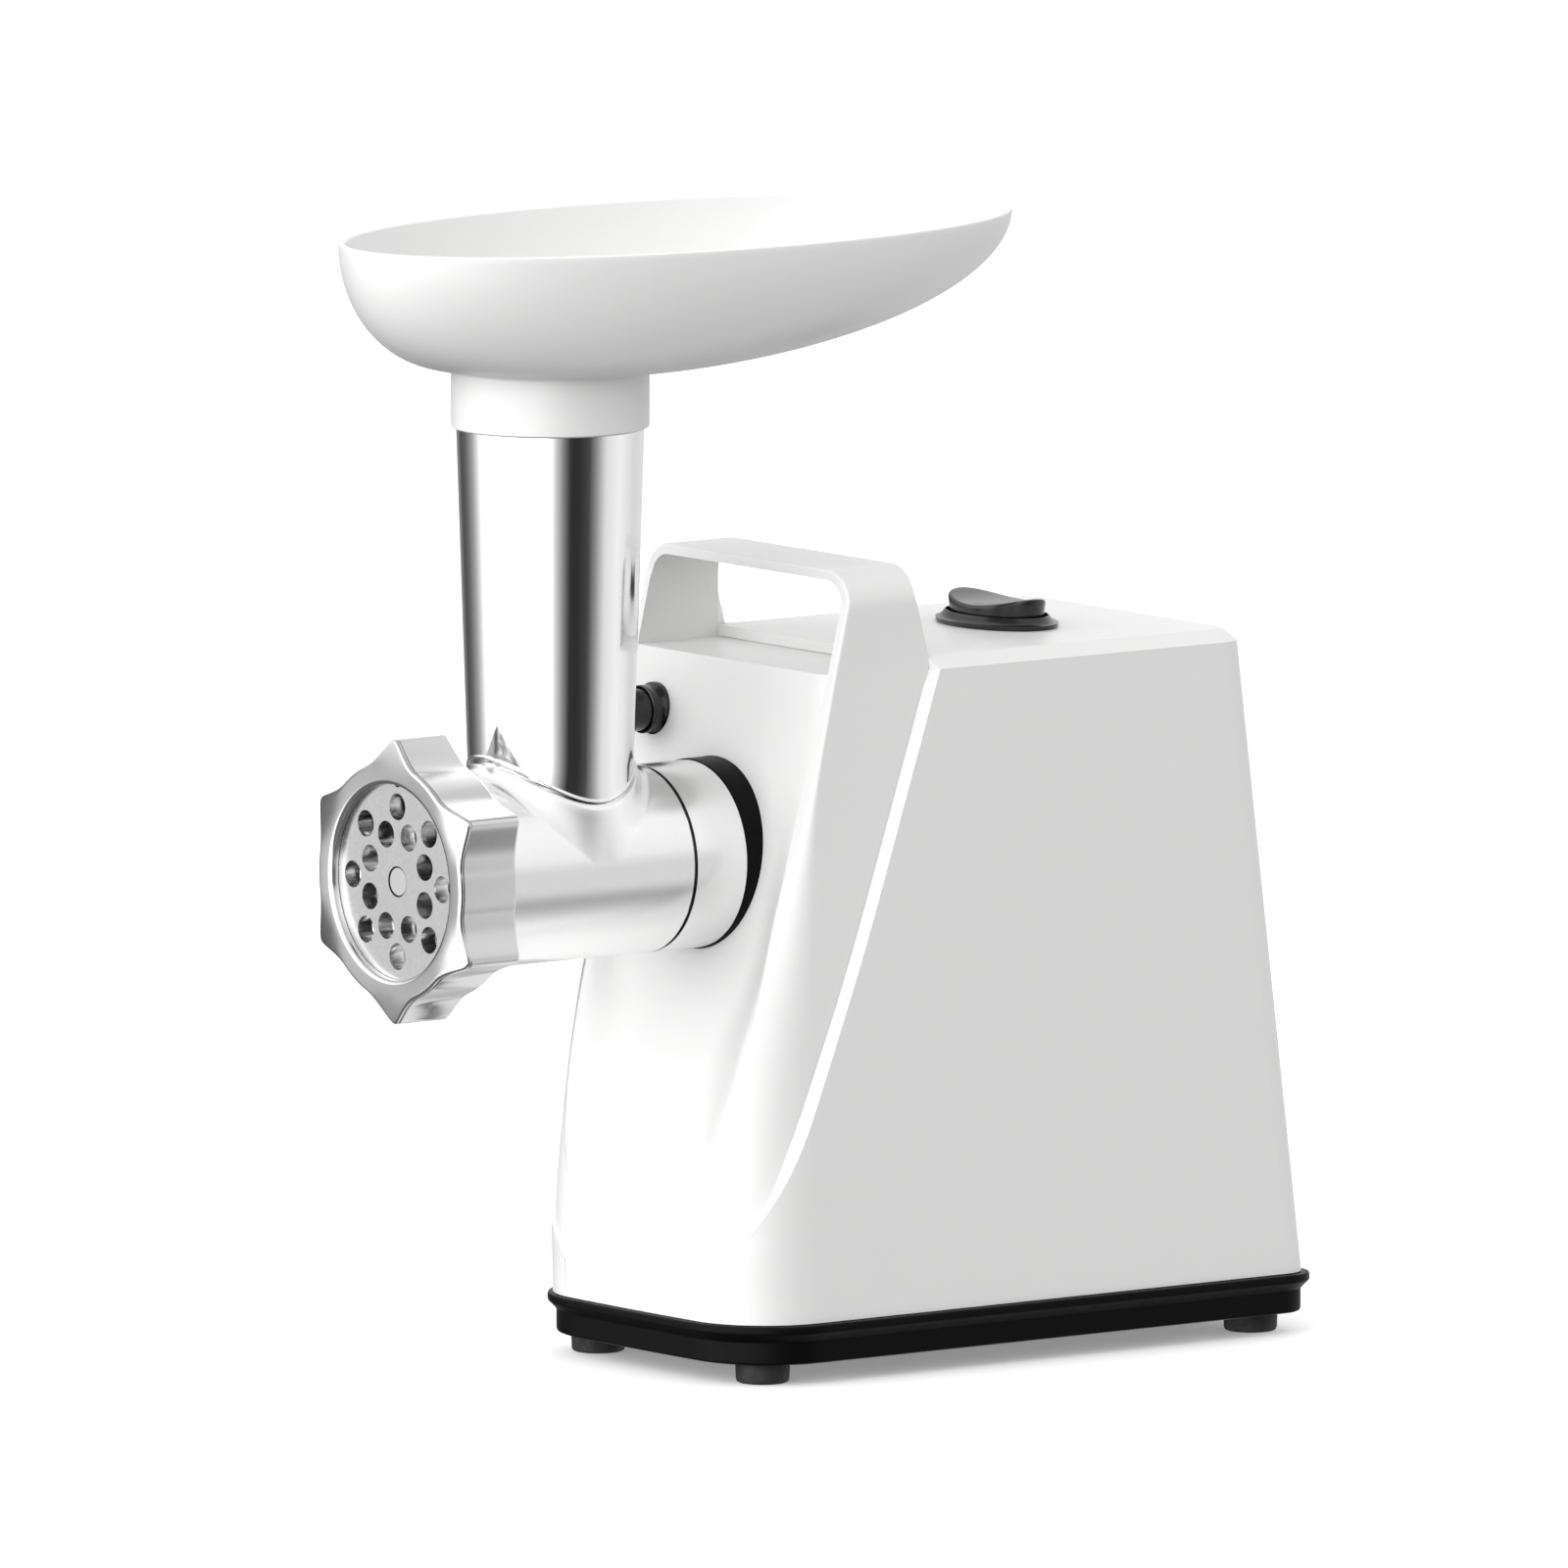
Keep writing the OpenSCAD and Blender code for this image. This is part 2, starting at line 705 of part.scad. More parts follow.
// Side view of the strap: narrow at the top, widest at the housing's top, drawn to a tip below
module strap_side() {
    rear_top_y = strap_neck_y + strap_w;
    neck_z = strap_top_z - strap_neck_drop;
    tongue_top_z = shoulder_z - wall_t - tongue_step;
    polygon(concat(
        [[y_front(strap_tip_z), strap_tip_z]],
        seam_points(strap_tip_z, strap_tongue_z - tongue_step, -fit_gap),
        seam_points(strap_tongue_z, tongue_top_z, strap_tongue),
        [[seam_y(tongue_top_z) - fit_gap, tongue_top_z], [seam_y(body_top_z) - 3 * fit_gap, body_top_z],
            [rear_top_y, neck_z], [rear_top_y, strap_top_z], [strap_neck_y, strap_top_z],
            [strap_neck_y, neck_z], [y_front(front_top_z), front_top_z],
            [y_front(strap_knee_z) - strap_proud, strap_knee_z]]));
}

module base_plate() color("black") placed() {
    difference() {
        union() {
            difference() {
                union() {
                    base_slab(base_top_z - flange_t, base_top_z, 0);
                    base_slab(skirt_z, base_top_z - flange_t, skirt_inset);
                }
                base_slab(floor_z, base_top_z + over, skirt_inset + base_t);
            }
            for (side = [-1, 1], y = base_screw_y)
                translate([side * base_screw_x, y, skirt_z])
                    cylinder(h = base_top_z - skirt_z, r = base_boss_r);
        }
        base_screw_bores(base_screw_r + screw_clear, skirt_z - over, base_top_z + over);
        base_screw_bores(base_head_r + screw_clear, skirt_z - over, skirt_z + base_head_h + head_sink);
        for (at = foot_places())
            translate([at[0], at[1], 0]) cylinder(h = floor_z + over, r = foot_stem_r + screw_gap);
        for (i = [0:vent_count - 1])
            translate([-vent_l / 2, (body_front_y + body_rear_y) / 2 + 2 * vent_w * i, skirt_z - over])
                cube([vent_l, vent_w, base_t + 2 * over]);
    }
}

module base_slab(z0, z1, inset) {
    translate([0, 0, z0]) linear_extrude(z1 - z0) plan(base_front_y + inset, base_rear_y - inset,
        body_foot_w / 2 + flange_lip - inset, front_corner_r + flange_lip - inset,
        rear_corner_r + flange_lip - inset);
}

function foot_places() = [for (side = [-1, 1], y = [base_front_y + foot_end, base_rear_y - foot_end])
    [side * foot_span_x / 2, y]];

module feet() color("black") placed() {
    for (at = foot_places()) translate([at[0], at[1], 0]) {
        cylinder(h = foot_h, d = foot_d);
        cylinder(h = floor_z + head_sink, r = foot_stem_r);
    }
}

module base_screws() color("silver") placed() {
    for (side = [-1, 1], y = base_screw_y) translate([side * base_screw_x, y, skirt_z + head_sink]) {
        cylinder(h = base_head_h, r = base_head_r);
        cylinder(h = base_top_z - skirt_z + post_h - 2 * post_cap, r = base_screw_r);
    }
}

// Sector of a ring about the grinding axis, for the bayonet lugs and their way in
module sector(y0, y1, r, middle, angle) {
    for (turn = [0, 180]) along_y(y0, y1) translate(drive_at) polygon(concat([[0, 0]],
        [for (i = [0:sector_steps]) let (a = middle + turn + angle * (i / sector_steps - 0.5))
            r / cos(angle / sector_steps / 2) * [cos(a), sin(a)]]));
}

module head_socket() color("silver") placed() {
    front = barrel_rear_y + socket_gap;
    groove_r = lug_r + lug_gap;
    difference() {
        union() {
            rod(drive_at, front, seal_y, barrel_r);
            rod(drive_at, seal_y - skin, front_y + skin, seal_seat_r);
            rod(drive_at, front_y, gear_front_y, barrel_r);
        }
        rod(drive_at, front - over, disc_y, spigot_r + run_gap);
        rod(drive_at, lug_y - lug_gap, lug_y + lug_w + lug_gap, groove_r);
        intersection() {
            sector(front - over, lug_y + lug_w, groove_r + over, 90, lug_angle + lug_slack);
            rod(drive_at, front - over, lug_y + lug_w, groove_r);
        }
        rod(drive_at, disc_y - over, gear_front_y + over, disc_bore_r);
        rod(drive_at, disc_y + disc_t, gear_front_y + over, spigot_r);
        rod(lock_at, disc_y - over, disc_y + disc_t + over, lock_pin_r + run_gap);
        translate([0, (lever_y + gear_front_y) / 2, axis_z]) rotate([0, -button_dir, 0])
            translate([lock_r + barrel_r / 2, 0, 0])
                cube([barrel_r, gear_front_y - lever_y + 2 * over, lock_w + 2 * lever_room], center = true);
        for (dir = socket_screw_dirs) rod(socket_screw_place(dir), gear_front_y - socket_screw_l,
            gear_front_y + over, socket_screw_r + screw_gap);
    }
}

lock_at = drive_at + lock_r * [cos(button_dir), sin(button_dir)];
function socket_screw_place(dir) = drive_at + socket_screw_at * [cos(dir), sin(dir)];

module socket_screws() color("silver") placed() {
    head_y = gear_front_y + gearbox_t - socket_head_h;
    for (dir = socket_screw_dirs) {
        rod(socket_screw_place(dir), head_y, head_y + socket_head_h, socket_head_r);
        rod(socket_screw_place(dir), gear_front_y - socket_screw_l + over, head_y + skin, socket_screw_r);
    }
}

module socket_seal() color("black") placed() {
    difference() {
        rod(drive_at, seal_y, front_y, seal_r);
        rod(drive_at, seal_y - over, front_y + over, seal_seat_r);
    }
}

module button_bezel() color("black") placed() {
    at = [-button_x, button_z];
    panel_y = y_front(button_z);
    difference() {
        rod(at, panel_y - button_bezel_out, lever_y - lever_gap + fit_gap, button_bezel_r);
        rod(at, 0, lever_y, button_r + run_gap);
    }
}

module release_button() color("black") placed() {
    rod([-button_x, button_z], y_front(button_z) - button_l, lever_y, button_r);
}

module lock_lever() color("gray") placed() {
    mid_r = (lock_r + norm([button_x, button_up])) / 2;
    arm_l = norm([button_x, button_up]) - lock_r;
    along_y(lever_y, lever_y + lever_t) {
        translate([-button_x, button_z]) circle(button_r);
        translate(lock_at) circle(lock_w / 2);
        translate(drive_at) rotate(button_dir) translate([mid_r, 0]) square([arm_l, lock_w], center = true);
    }
    rod(lock_at, spigot_end_y + lock_gap, lever_y, lock_pin_r);
}

// Helix of round wire round the lock pin's axis, from the lever to the gearbox
module release_spring() color("silver") placed() {
    sides = 6;
    turn_rings = 8;
    rings = spring_turns * turn_rings;
    coil_r = lock_w / 2 - spring_wire_r;
    rise = (spring_l - 2 * spring_wire_r - 2 * fit_gap) / rings;
    points = [for (k = [0:rings], i = [0:sides - 1])
        let (a = 360 * k / turn_rings, b = 360 * i / sides, r = coil_r + spring_wire_r * cos(b))
        [lock_at[0] + r * cos(a),
            lever_y + lever_t + fit_gap + spring_wire_r * (1 + sin(b)) + rise * k,
            lock_at[1] + r * sin(a)]];
    polyhedron(points = points, faces = concat(
        [for (i = [1:sides - 2]) [0, i, i + 1]],
        [for (i = [1:sides - 2]) let (e = rings * sides) [e, e + i + 1, e + i]],
        [for (k = [0:rings - 1], i = [0:sides - 1])
            let (a = k * sides, b = a + sides, j = (i + 1) % sides)
            each [[a + i, b + i, a + j], [a + j, b + i, b + j]]]));
}

module switch_bezel() color("black") placed() {
    difference() {
        translate([0, switch_y, 0]) {
            translate([0, 0, body_top_z]) linear_extrude(bezel_h)
                oval(neck_half(rocker_l) + neck_t, neck_half(rocker_w) + neck_t);
            translate([0, 0, neck_foot_z]) linear_extrude(body_top_z - neck_foot_z + skin)
                oval(neck_half(rocker_l), neck_half(rocker_w));
        }
        translate([0, switch_y, neck_foot_z - over]) linear_extrude(bezel_h + reach)
            oval(rocker_l / 2 + rocker_gap, rocker_w / 2 + rocker_gap);
        rod([0, pivot_z], switch_y - pivot_half() - pivot_end_gap, switch_y + pivot_half() + pivot_end_gap,
            pivot_r + run_gap);
    }
}

function pivot_half() = neck_half(rocker_w) - pivot_short;

module switch_rocker() color("black") placed() {
    saddle_r = (rocker_l * rocker_l / 4 + rocker_dip * rocker_dip) / (2 * rocker_dip);
    top = body_top_z + rocker_h;
    foot = pivot_z - rocker_drop;
    difference() {
        intersection() {
            translate([0, switch_y, foot]) linear_extrude(top - foot) oval(rocker_l / 2, rocker_w / 2);
            rod([0, pivot_z], switch_y - rocker_w, switch_y + rocker_w, rocker_l / 2 + rocker_gap / 2);
        }
        rod([0, top - rocker_dip + saddle_r], switch_y - rocker_w, switch_y + rocker_w, saddle_r);
    }
    rod([0, pivot_z], switch_y - pivot_half(), switch_y + pivot_half(), pivot_r);
}

module switch_body() color("dimgray") placed() {
    translate([-rocker_l / 2, switch_y - rocker_w / 2, neck_foot_z - switch_body_h])
        cube([rocker_l, rocker_w, switch_body_h]);
}

module cord_gland() color("black") placed() {
    gland_place() difference() {
        union() {
            cylinder(h = gland_flange_t, r = gland_flange_r);
            translate([0, 0, gland_flange_t - gland_l]) cylinder(h = gland_l, r = gland_neck_r);
        }
        translate([0, 0, gland_flange_t - gland_l - over]) cylinder(h = gland_l + 2 * over, r = gland_bore_r);
    }
}

module barrel() color("lightgray") placed() {
    difference() {
        union() {
            rod(drive_at, cup_y, cup_end_y, cup_r);
            rod(drive_at, cup_end_y - skin, barrel_rear_y, barrel_r);
            rod(drive_at, barrel_rear_y - skin, spigot_end_y, spigot_r);
            intersection() {
                translate([0, tube_y, axis_z]) cylinder(h = boss_r, r = tube_foot_d / 2 + boss_lip);
                rod(drive_at, cup_end_y, barrel_rear_y, boss_r);
            }
            intersection() {
                sector(lug_y, lug_y + lug_w, lug_r + over, 0, lug_angle);
                rod(drive_at, lug_y, lug_y + lug_w, lug_r);
            }
        }
        rod(drive_at, cup_y - over, plate_seat_y, plate_d / 2 + run_gap);
        rod(drive_at, cup_y - over, barrel_rear_y - barrel_t, bore_r);
        rod(drive_at, cup_y, spigot_end_y + over, spigot_bore_r);
        rod(lock_at, spigot_end_y - lock_depth, spigot_end_y + over, lock_pin_r + lock_gap);
        translate([0, tube_y, axis_z])
            cylinder(h = boss_r + over, r = min(tube_foot_d / 2 - tube_t, bore_r - over));
        rod(key_at, plate_seat_y - plate_t, plate_seat_y + key_sink, key_r);
    }
}

key_at = drive_at + [0, plate_d / 2 - key_in];

module plate_key() color("silver") placed() {
    rod(key_at, plate_seat_y - plate_t + key_short, plate_seat_y + key_sink, key_r);
}

module feed_tube() color("silver") placed() {
    difference() {
        union() {
            tube_cone(axis_z + tube_root, 0, 0);
            translate([0, tube_y, collar_z - skin])
                cylinder(h = tube_end_z - collar_z + skin, r = tube_spigot_r);
        }
        tube_cone(axis_z + tube_root - over, tube_t, tube_t + spigot_step);
        translate([0, tube_y, collar_z - skin]) cylinder(h = collar_h, r = tube_spigot_r - tube_t);
        rod(drive_at, 0, reach, boss_r);
    }
}

// Cone up to the tray's collar, drawn in by an inset at its foot and one at its top
module tube_cone(z, foot_inset, top_inset) {
    translate([0, tube_y, z])
        cylinder(h = collar_z - z, r1 = tube_r(z) - foot_inset, r2 = tube_r(collar_z) - top_inset);
}

// Outline of the ring nut: a round body that flares into six blunt points
module ring_nut() color("silver") placed() {
    difference() {
        along_y(0, ring_l) translate(drive_at) union() {
            circle(d = ring_valley_d);
            for (i = [0:ring_tips - 1]) rotate(90 + 360 * i / ring_tips) ring_point();
        }
        rod(drive_at, -over, ring_l, ring_open_d / 2);
        rod(drive_at, ring_lip_t, ring_l + over, ring_bore_r);
    }
}

// One point of the ring nut, along X, with flanks that curve in
module ring_point() {
    root_r = ring_valley_d / 2 - point_sink;
    tip = ring_tip_d / 2 - tip_round_r;
    foot = ring_valley_d / 2 * sin(point_angle);
    flank = [for (i = [0:flank_parts]) let (s = 1 - i / flank_parts, r = root_r + (tip - root_r) * (1 - s * s))
        [r * cos(point_angle * s), tip_round_r + (foot - tip_round_r) * s * s]];
    polygon(concat([[0, 0]], [for (p = flank) [p[0], -p[1]]], [for (i = [flank_parts:-1:0]) flank[i]]));
    translate([tip, 0]) circle(tip_round_r);
}

module cutting_plate() color("gainsboro") placed() {
    difference() {
        rod(drive_at, plate_y, plate_y + plate_t, plate_d / 2);
        rod(drive_at, plate_y - over, plate_y + plate_t + over, plate_bore_r);
        for (i = [0:plate_row_count - 1]) {
            a = 90 + 360 * i / plate_row_count;
            plate_hole(plate_row_r, a);
            plate_hole(plate_inner_row_r, a + 180 / plate_row_count);
        }
        rod(key_at, plate_y - over, plate_y + plate_t + over, key_r + key_gap);
    }
}

module plate_hole(r, a) {
    rod(drive_at + r * [cos(a), sin(a)], plate_y - over, plate_y + plate_t + over, plate_hole_d / 2);
}

module cutting_knife() color("silver") placed() {
    hub_r = 9;
    edge = 4;
    back = 5;
    tip_back = 2;
    blade_l = bore_r - over;
    difference() {
        union() {
            rod(drive_at, knife_y, knife_y + knife_t, hub_r);
            for (a = [0:90:270]) translate([0, knife_y + knife_t, axis_z]) rotate([90, 0, 0]) rotate(a)
                linear_extrude(knife_t)
                    polygon([[0, -edge], [blade_l, -edge], [blade_l - over, tip_back], [0, back]]);
        }
        translate([0, knife_y + knife_t / 2, axis_z])
            cube([square_w + fit_gap, knife_t + 2 * over, square_w + fit_gap], center = true);
    }
}

module auger() color("lightgray") placed() {
    core_r = 9;
    flight_gap = 0.7;
    flight_back = 1.5;
    flight_short = 2;
    flight_turns = 2.5;
    flight_steps = 6;
    flight_half_angle = 18;
    flight_root = 4;
    pin_back = 0.3;
    flight_r = bore_r - flight_gap;
    flight_y = auger_y + flight_back;
    flight_end_y = barrel_rear_y - barrel_t - flight_short;
    shank_r = spigot_bore_r - end_gap;
    rod(drive_at, plate_y + pin_back, knife_y + skin, pin_r);
    translate([0, (knife_y + auger_y) / 2, axis_z])
        cube([square_w, knife_t + 2 * skin, square_w], center = true);
    difference() {
        union() {
            rod(drive_at, auger_y, flight_end_y, core_r);
            translate([0, flight_end_y, axis_z]) rotate([90, 0, 0])
                linear_extrude(flight_end_y - flight_y, twist = 360 * flight_turns, slices = 48, $fn = 16)
                    polygon(concat([for (i = [0:flight_steps])
                        let (a = flight_half_angle * (2 * i / flight_steps - 1)) flight_r * [cos(a), sin(a)]],
                        [[flight_root, flight_root], [-flight_root / 2, 0], [flight_root, -flight_root]]));
            rod(drive_at, flight_end_y - skin, spigot_end_y - over, shank_r);
        }
        hex_bar(barrel_rear_y, spigot_end_y, hex_r() + fit_gap);
    }
}

function hex_r() = shaft_d / 2 - shaft_clear;

// Six-sided bar on the grinding axis
module hex_bar(y0, y1, r) {
    translate([0, y1, axis_z]) rotate([90, 0, 0]) cylinder(h = y1 - y0, r = r, $fn = 6);
}

// Closed surface through a ring of points at each level, joined end to end
module feed_tray() color("white") placed() {
    floor_z = collar_z + collar_h;
    inner_r = tube_spigot_r + collar_gap;
    lip_z = tube_end_z + fit_gap;
    hole_r = tube_spigot_r - tube_t;
    rings = concat(
        [tube_ring(inner_r + tray_t, collar_z), tube_ring(inner_r + tray_t, floor_z)],
        [for (i = [0:tray_levels]) bowl_ring(90 * i / tray_levels, 0)],
        [for (i = [tray_levels:-1:0]) bowl_ring(90 * i / tray_levels, tray_t)],
        [tube_ring(hole_r, floor_z + tray_t), tube_ring(hole_r, lip_z), tube_ring(inner_r, lip_z),
            tube_ring(inner_r, collar_z)]);
    count = len(rings);
    polyhedron(points = [for (ring = rings) each ring],
        faces = [for (k = [0:count - 1], i = [0:tray_points - 1])
            let (a = k * tray_points, b = ((k + 1) % count) * tray_points, j = (i + 1) % tray_points)
            each [[a + i, b + i, a + j], [a + j, b + i, b + j]]]);
}

function tube_ring(r, z) = [for (i = [0:tray_points - 1]) let (a = 360 * i / tray_points)
    [r * cos(a), tube_y + r * sin(a), z]];

// Section of the bowl at an angle from its floor (0) to its rim (90), drawn in by an inset
function bowl_ring(angle, inset) =
    let (s = sin(angle),
        z = tray_rim_z - (tray_h - inset) * cos(angle),
        half_x = (tray_floor_w + (tray_w - tray_floor_w) * s) / 2 - inset * s,
        front = tray_floor_start + (tray_front_y - tray_floor_start) * s + inset * s,
        rear = tray_floor_end + (tray_rear_y - tray_floor_end) * s - inset * s)
    [for (i = [0:tray_points - 1]) let (a = 360 * i / tray_points)
        [half_x * cos(a), (front + rear) / 2 + (rear - front) / 2 * sin(a), z]];

// Involute of the base circle: the angle that it has turned through at a radius
function involute_at(r, base_r) = r <= base_r ? 0
    : let (t = sqrt(r * r / (base_r * base_r) - 1)) t * 180 / PI - atan(t);

// Outline of a spur gear with its first tooth on the X axis
function gear_points(m, teeth) =
    let (pitch_r = m * teeth / 2,
        base_r = pitch_r * cos(pressure_angle),
        root_r = pitch_r - dedendum * m,
        tip_r = pitch_r + addendum * m,
        start_r = max(root_r, base_r),
        half = 90 / teeth - backlash / 2 / pitch_r * 180 / PI,
        radii = concat(base_r > root_r ? [root_r] : [],
            [for (k = [0:flank_steps]) start_r + (tip_r - start_r) * k / flank_steps]),
        n = len(radii))
    [for (tooth = [0:teeth - 1], k = [0:2 * n - 1])
        let (r = k < n ? radii[k] : radii[2 * n - 1 - k],
            open = half + involute_at(pitch_r, base_r) - involute_at(r, base_r),
            a = 360 * tooth / teeth + (k < n ? -open : open))
        r * [cos(a), sin(a)]];

module gear(at, y0, width, m, teeth, turn) {
    along_y(y0, y0 + width) translate(at) rotate(turn) polygon(gear_points(m, teeth));
}

// Union of the gear pockets, drawn out by a wall
module gearbox_outline(out) {
    translate(drive_at) circle(pocket_3_r + out);
    translate(idler_2_at) circle(pocket_2_r + out);
    translate(idler_1_at) circle(pocket_1_r + out);
    translate(motor_at) circle(pocket_0_r + out);
}

module gearbox_blank(y0, y1) {
    along_y(y0, y1) {
        gearbox_outline(case_t);
        for (at = case_lugs) translate(at) circle(case_lug_r);
    }
}

module gearbox_case() color("lightgray") placed() {
    difference() {
        union() {
            gearbox_blank(gear_front_y, cover_y);
            translate([case_foot_x[0], gear_front_y, floor_z])
                cube([case_foot_x[1] - case_foot_x[0], gearbox_t, case_foot_top_z - floor_z]);
        }
        along_y(gear_front_y + gearbox_t, cover_y + over) gearbox_outline(0);
        rod(drive_at, gear_front_y - over, cover_y, bush_r);
        for (at = [idler_1_at, idler_2_at])
            rod(at, gear_front_y + end_gap, cover_y, idler_pin_d / 2);
        for (at = case_lugs)
            rod(at, gear_front_y + lug_screw_short, cover_y + over, lug_screw_r + screw_gap);
        for (dir = socket_screw_dirs) {
            at = socket_screw_place(dir);
            rod(at, gear_front_y - over, cover_y, socket_screw_r + screw_gap);
            rod(at, gear_front_y + gearbox_t - socket_head_h, cover_y, socket_head_r + fit_gap);
        }
    }
}

module gearbox_cover() color("lightgray") placed() {
    difference() {
        gearbox_blank(cover_y, cover_end_y);
        rod(drive_at, cover_y - over, cover_end_y + over, bush_r);
        rod(motor_at, cover_y - over, cover_end_y + over, pocket_0_r - pinion_clear);
        for (at = [idler_1_at, idler_2_at]) rod(at, cover_y - over, cover_end_y - over, idler_pin_d / 2);
        for (at = case_lugs) rod(at, cover_y - over, cover_end_y + over, lug_screw_r + screw_gap);
    }
}

module gearbox_screws() color("silver") placed() {
    for (at = case_lugs) {
        rod(at, cover_end_y, cover_end_y + lug_head_h, 2 * lug_screw_r);
        rod(at, gear_front_y + lug_screw_short + over, cover_end_y + skin, lug_screw_r);
    }
}

module idler_pins() color("silver") placed() {
    for (at = [idler_1_at, idler_2_at]) rod(at, gear_front_y + end_gap, cover_end_y - over, idler_pin_d / 2);
}

module drive_bushes() color("peru") placed() {
    for (y = [gear_front_y + gearbox_t - bush_l, cover_end_y - bush_l]) difference() {
        rod(drive_at, y, y + bush_l, bush_r);
        rod(drive_at, y - over, y + bush_l + over, shaft_d / 2 + run_gap);
    }
}

module drive_shaft() color("silver") placed() {
    rod(drive_at, spigot_end_y - end_gap, cover_end_y - end_gap, shaft_d / 2);
    hex_bar(barrel_rear_y + over, spigot_end_y, hex_r());
}

module output_gear() color("ivory") placed() {
    difference() {
        gear(drive_at, layer_3_y, layer_3_w, module_3, wheel_teeth, wheel_3_turn);
        rod(drive_at, layer_3_y - over, layer_3_y + layer_3_w + over, shaft_d / 2);
    }
}

module idler_gear_1() color("ivory") placed() {
    bore_r = idler_pin_d / 2 + run_gap;
    difference() {
        union() {
            gear(idler_1_at, layer_1_y, layer_1_w, module_1, wheel_teeth, wheel_1_turn);
            gear(idler_1_at, layer_2_y, layer_1_y - layer_2_y + skin, module_2, pinion_teeth, wheel_1_turn);
            rod(idler_1_at, gear_front_y + gearbox_t + idler_float, cover_y - idler_float,
                bore_r + idler_hub_t);
        }
        rod(idler_1_at, gear_front_y, cover_end_y, bore_r);
    }
}

module idler_gear_2() color("ivory") placed() {
    bore_r = idler_pin_d / 2 + run_gap;
    difference() {
        union() {
            gear(idler_2_at, layer_2_y, layer_2_w, module_2, wheel_teeth, wheel_2_turn);
            gear(idler_2_at, layer_3_y, layer_2_y - layer_3_y + skin, module_3, pinion_teeth, wheel_2_turn);
            rod(idler_2_at, gear_front_y + gearbox_t + idler_float, cover_y - idler_float,
                bore_r + idler_hub_t);
        }
        rod(idler_2_at, gear_front_y, cover_end_y, bore_r);
    }
}

module motor_pinion() color("silver") placed() {
    difference() {
        gear(motor_at, layer_1_y, layer_1_w, module_1, pinion_teeth, 0);
        rod(motor_at, layer_1_y - over, layer_1_y + layer_1_w + over, pinion_shaft_r);
    }
}

module rotor_shaft() color("silver") placed() {
    rod(motor_at, layer_1_y - end_gap, cover_end_y, pinion_shaft_r);
    rod(motor_at, cover_end_y - end_gap, rotor_end_y, rotor_d / 2);
}

module armature() color("dimgray") placed() {
    slots = 12;
    slot_r = 1.6;
    slot_in = 1.2;
    difference() {
        rod(motor_at, stack_y, stack_end_y, armature_d / 2);
        rod(motor_at, stack_y - over, stack_end_y + over, rotor_d / 2);
        for (i = [0:slots - 1])
            rod(around(motor_at, armature_d / 2 - slot_in, 360 * i / slots),
                stack_y - over, stack_end_y + over, slot_r);
    }
}

// Wound ends of the armature, on both sides of its stack
module armature_windings() color("chocolate") placed() {
    winding_l = coil_out - over;
    winding_in = 3;
    for (y = [stack_y - winding_l, stack_end_y]) difference() {
        rod(motor_at, y, y + winding_l, armature_d / 2 - winding_in);
        rod(motor_at, y - over, y + coil_out, rotor_d / 2);
    }
}

module commutator() color("peru") placed() {
    difference() {
        rod(motor_at, commutator_y, commutator_y + commutator_l, commutator_r);
        rod(motor_at, commutator_y - over, commutator_y + commutator_l + over, rotor_d / 2);
    }
}

module motor_fan() color("dimgray") placed() {
    hub_r = rotor_d / 2 + 3;
    disc_l = 1.5;
    blade_t = 1.4;
    difference() {
        union() {
            rod(motor_at, fan_y, fan_y + disc_l, fan_r);
            rod(motor_at, fan_y, fan_y + fan_l, hub_r);
            for (i = [0:fan_blades - 1])
                along_y(fan_y + disc_l / 2, fan_y + fan_l - over) translate(motor_at)
                    rotate(360 * i / fan_blades) translate([hub_r - over, -blade_t / 2])
                        square([fan_r - hub_r, blade_t]);
        }
        rod(motor_at, fan_y - over, fan_y + fan_l + over, rotor_d / 2);
    }
}

// Lamination stack with a window for the coils on each side of its bore
module motor_stator() color("gray") placed() {
    difference() {
        along_y(stack_y, stack_end_y) translate(motor_at) difference() {
            square(stack_w, center = true);
            circle(stack_bore_r);
            for (x = [-1, 1], z = [-1, 1]) {
                translate([x * coil_middle_x(), z * coil_middle_z()])
                    square([coil_t + coil_window_gap, coil_x1 - coil_z0 + coil_window_gap], center = true);
                translate([x * bolt_at, z * bolt_at]) circle(bolt_hole_r);
            }
        }
    }
}

function coil_middle_x() = (coil_x0 + coil_x1) / 2;
function coil_middle_z() = (coil_z0 + coil_x1) / 2;

// Two coils, above and below the armature
module field_coils() color("chocolate") placed() {
    for (side = [-1, 1]) translate([0, 0, motor_z]) {
        for (x = [-1, 1]) translate([x * coil_middle_x(), (stack_y + stack_end_y) / 2, side * coil_middle_z()])
            cube([coil_t, stack_l + 2 * coil_out, coil_x1 - coil_z0], center = true);
        for (y = [stack_y - (coil_out + over) / 2, stack_end_y + (coil_out + over) / 2])
            translate([0, y, side * coil_middle_x()])
                cube([2 * coil_x1, coil_out - over, coil_t], center = true);
    }
}

function bolt_places() = [for (x = [-1, 1], z = [-1, 1]) motor_at + bolt_at * [x, z]];

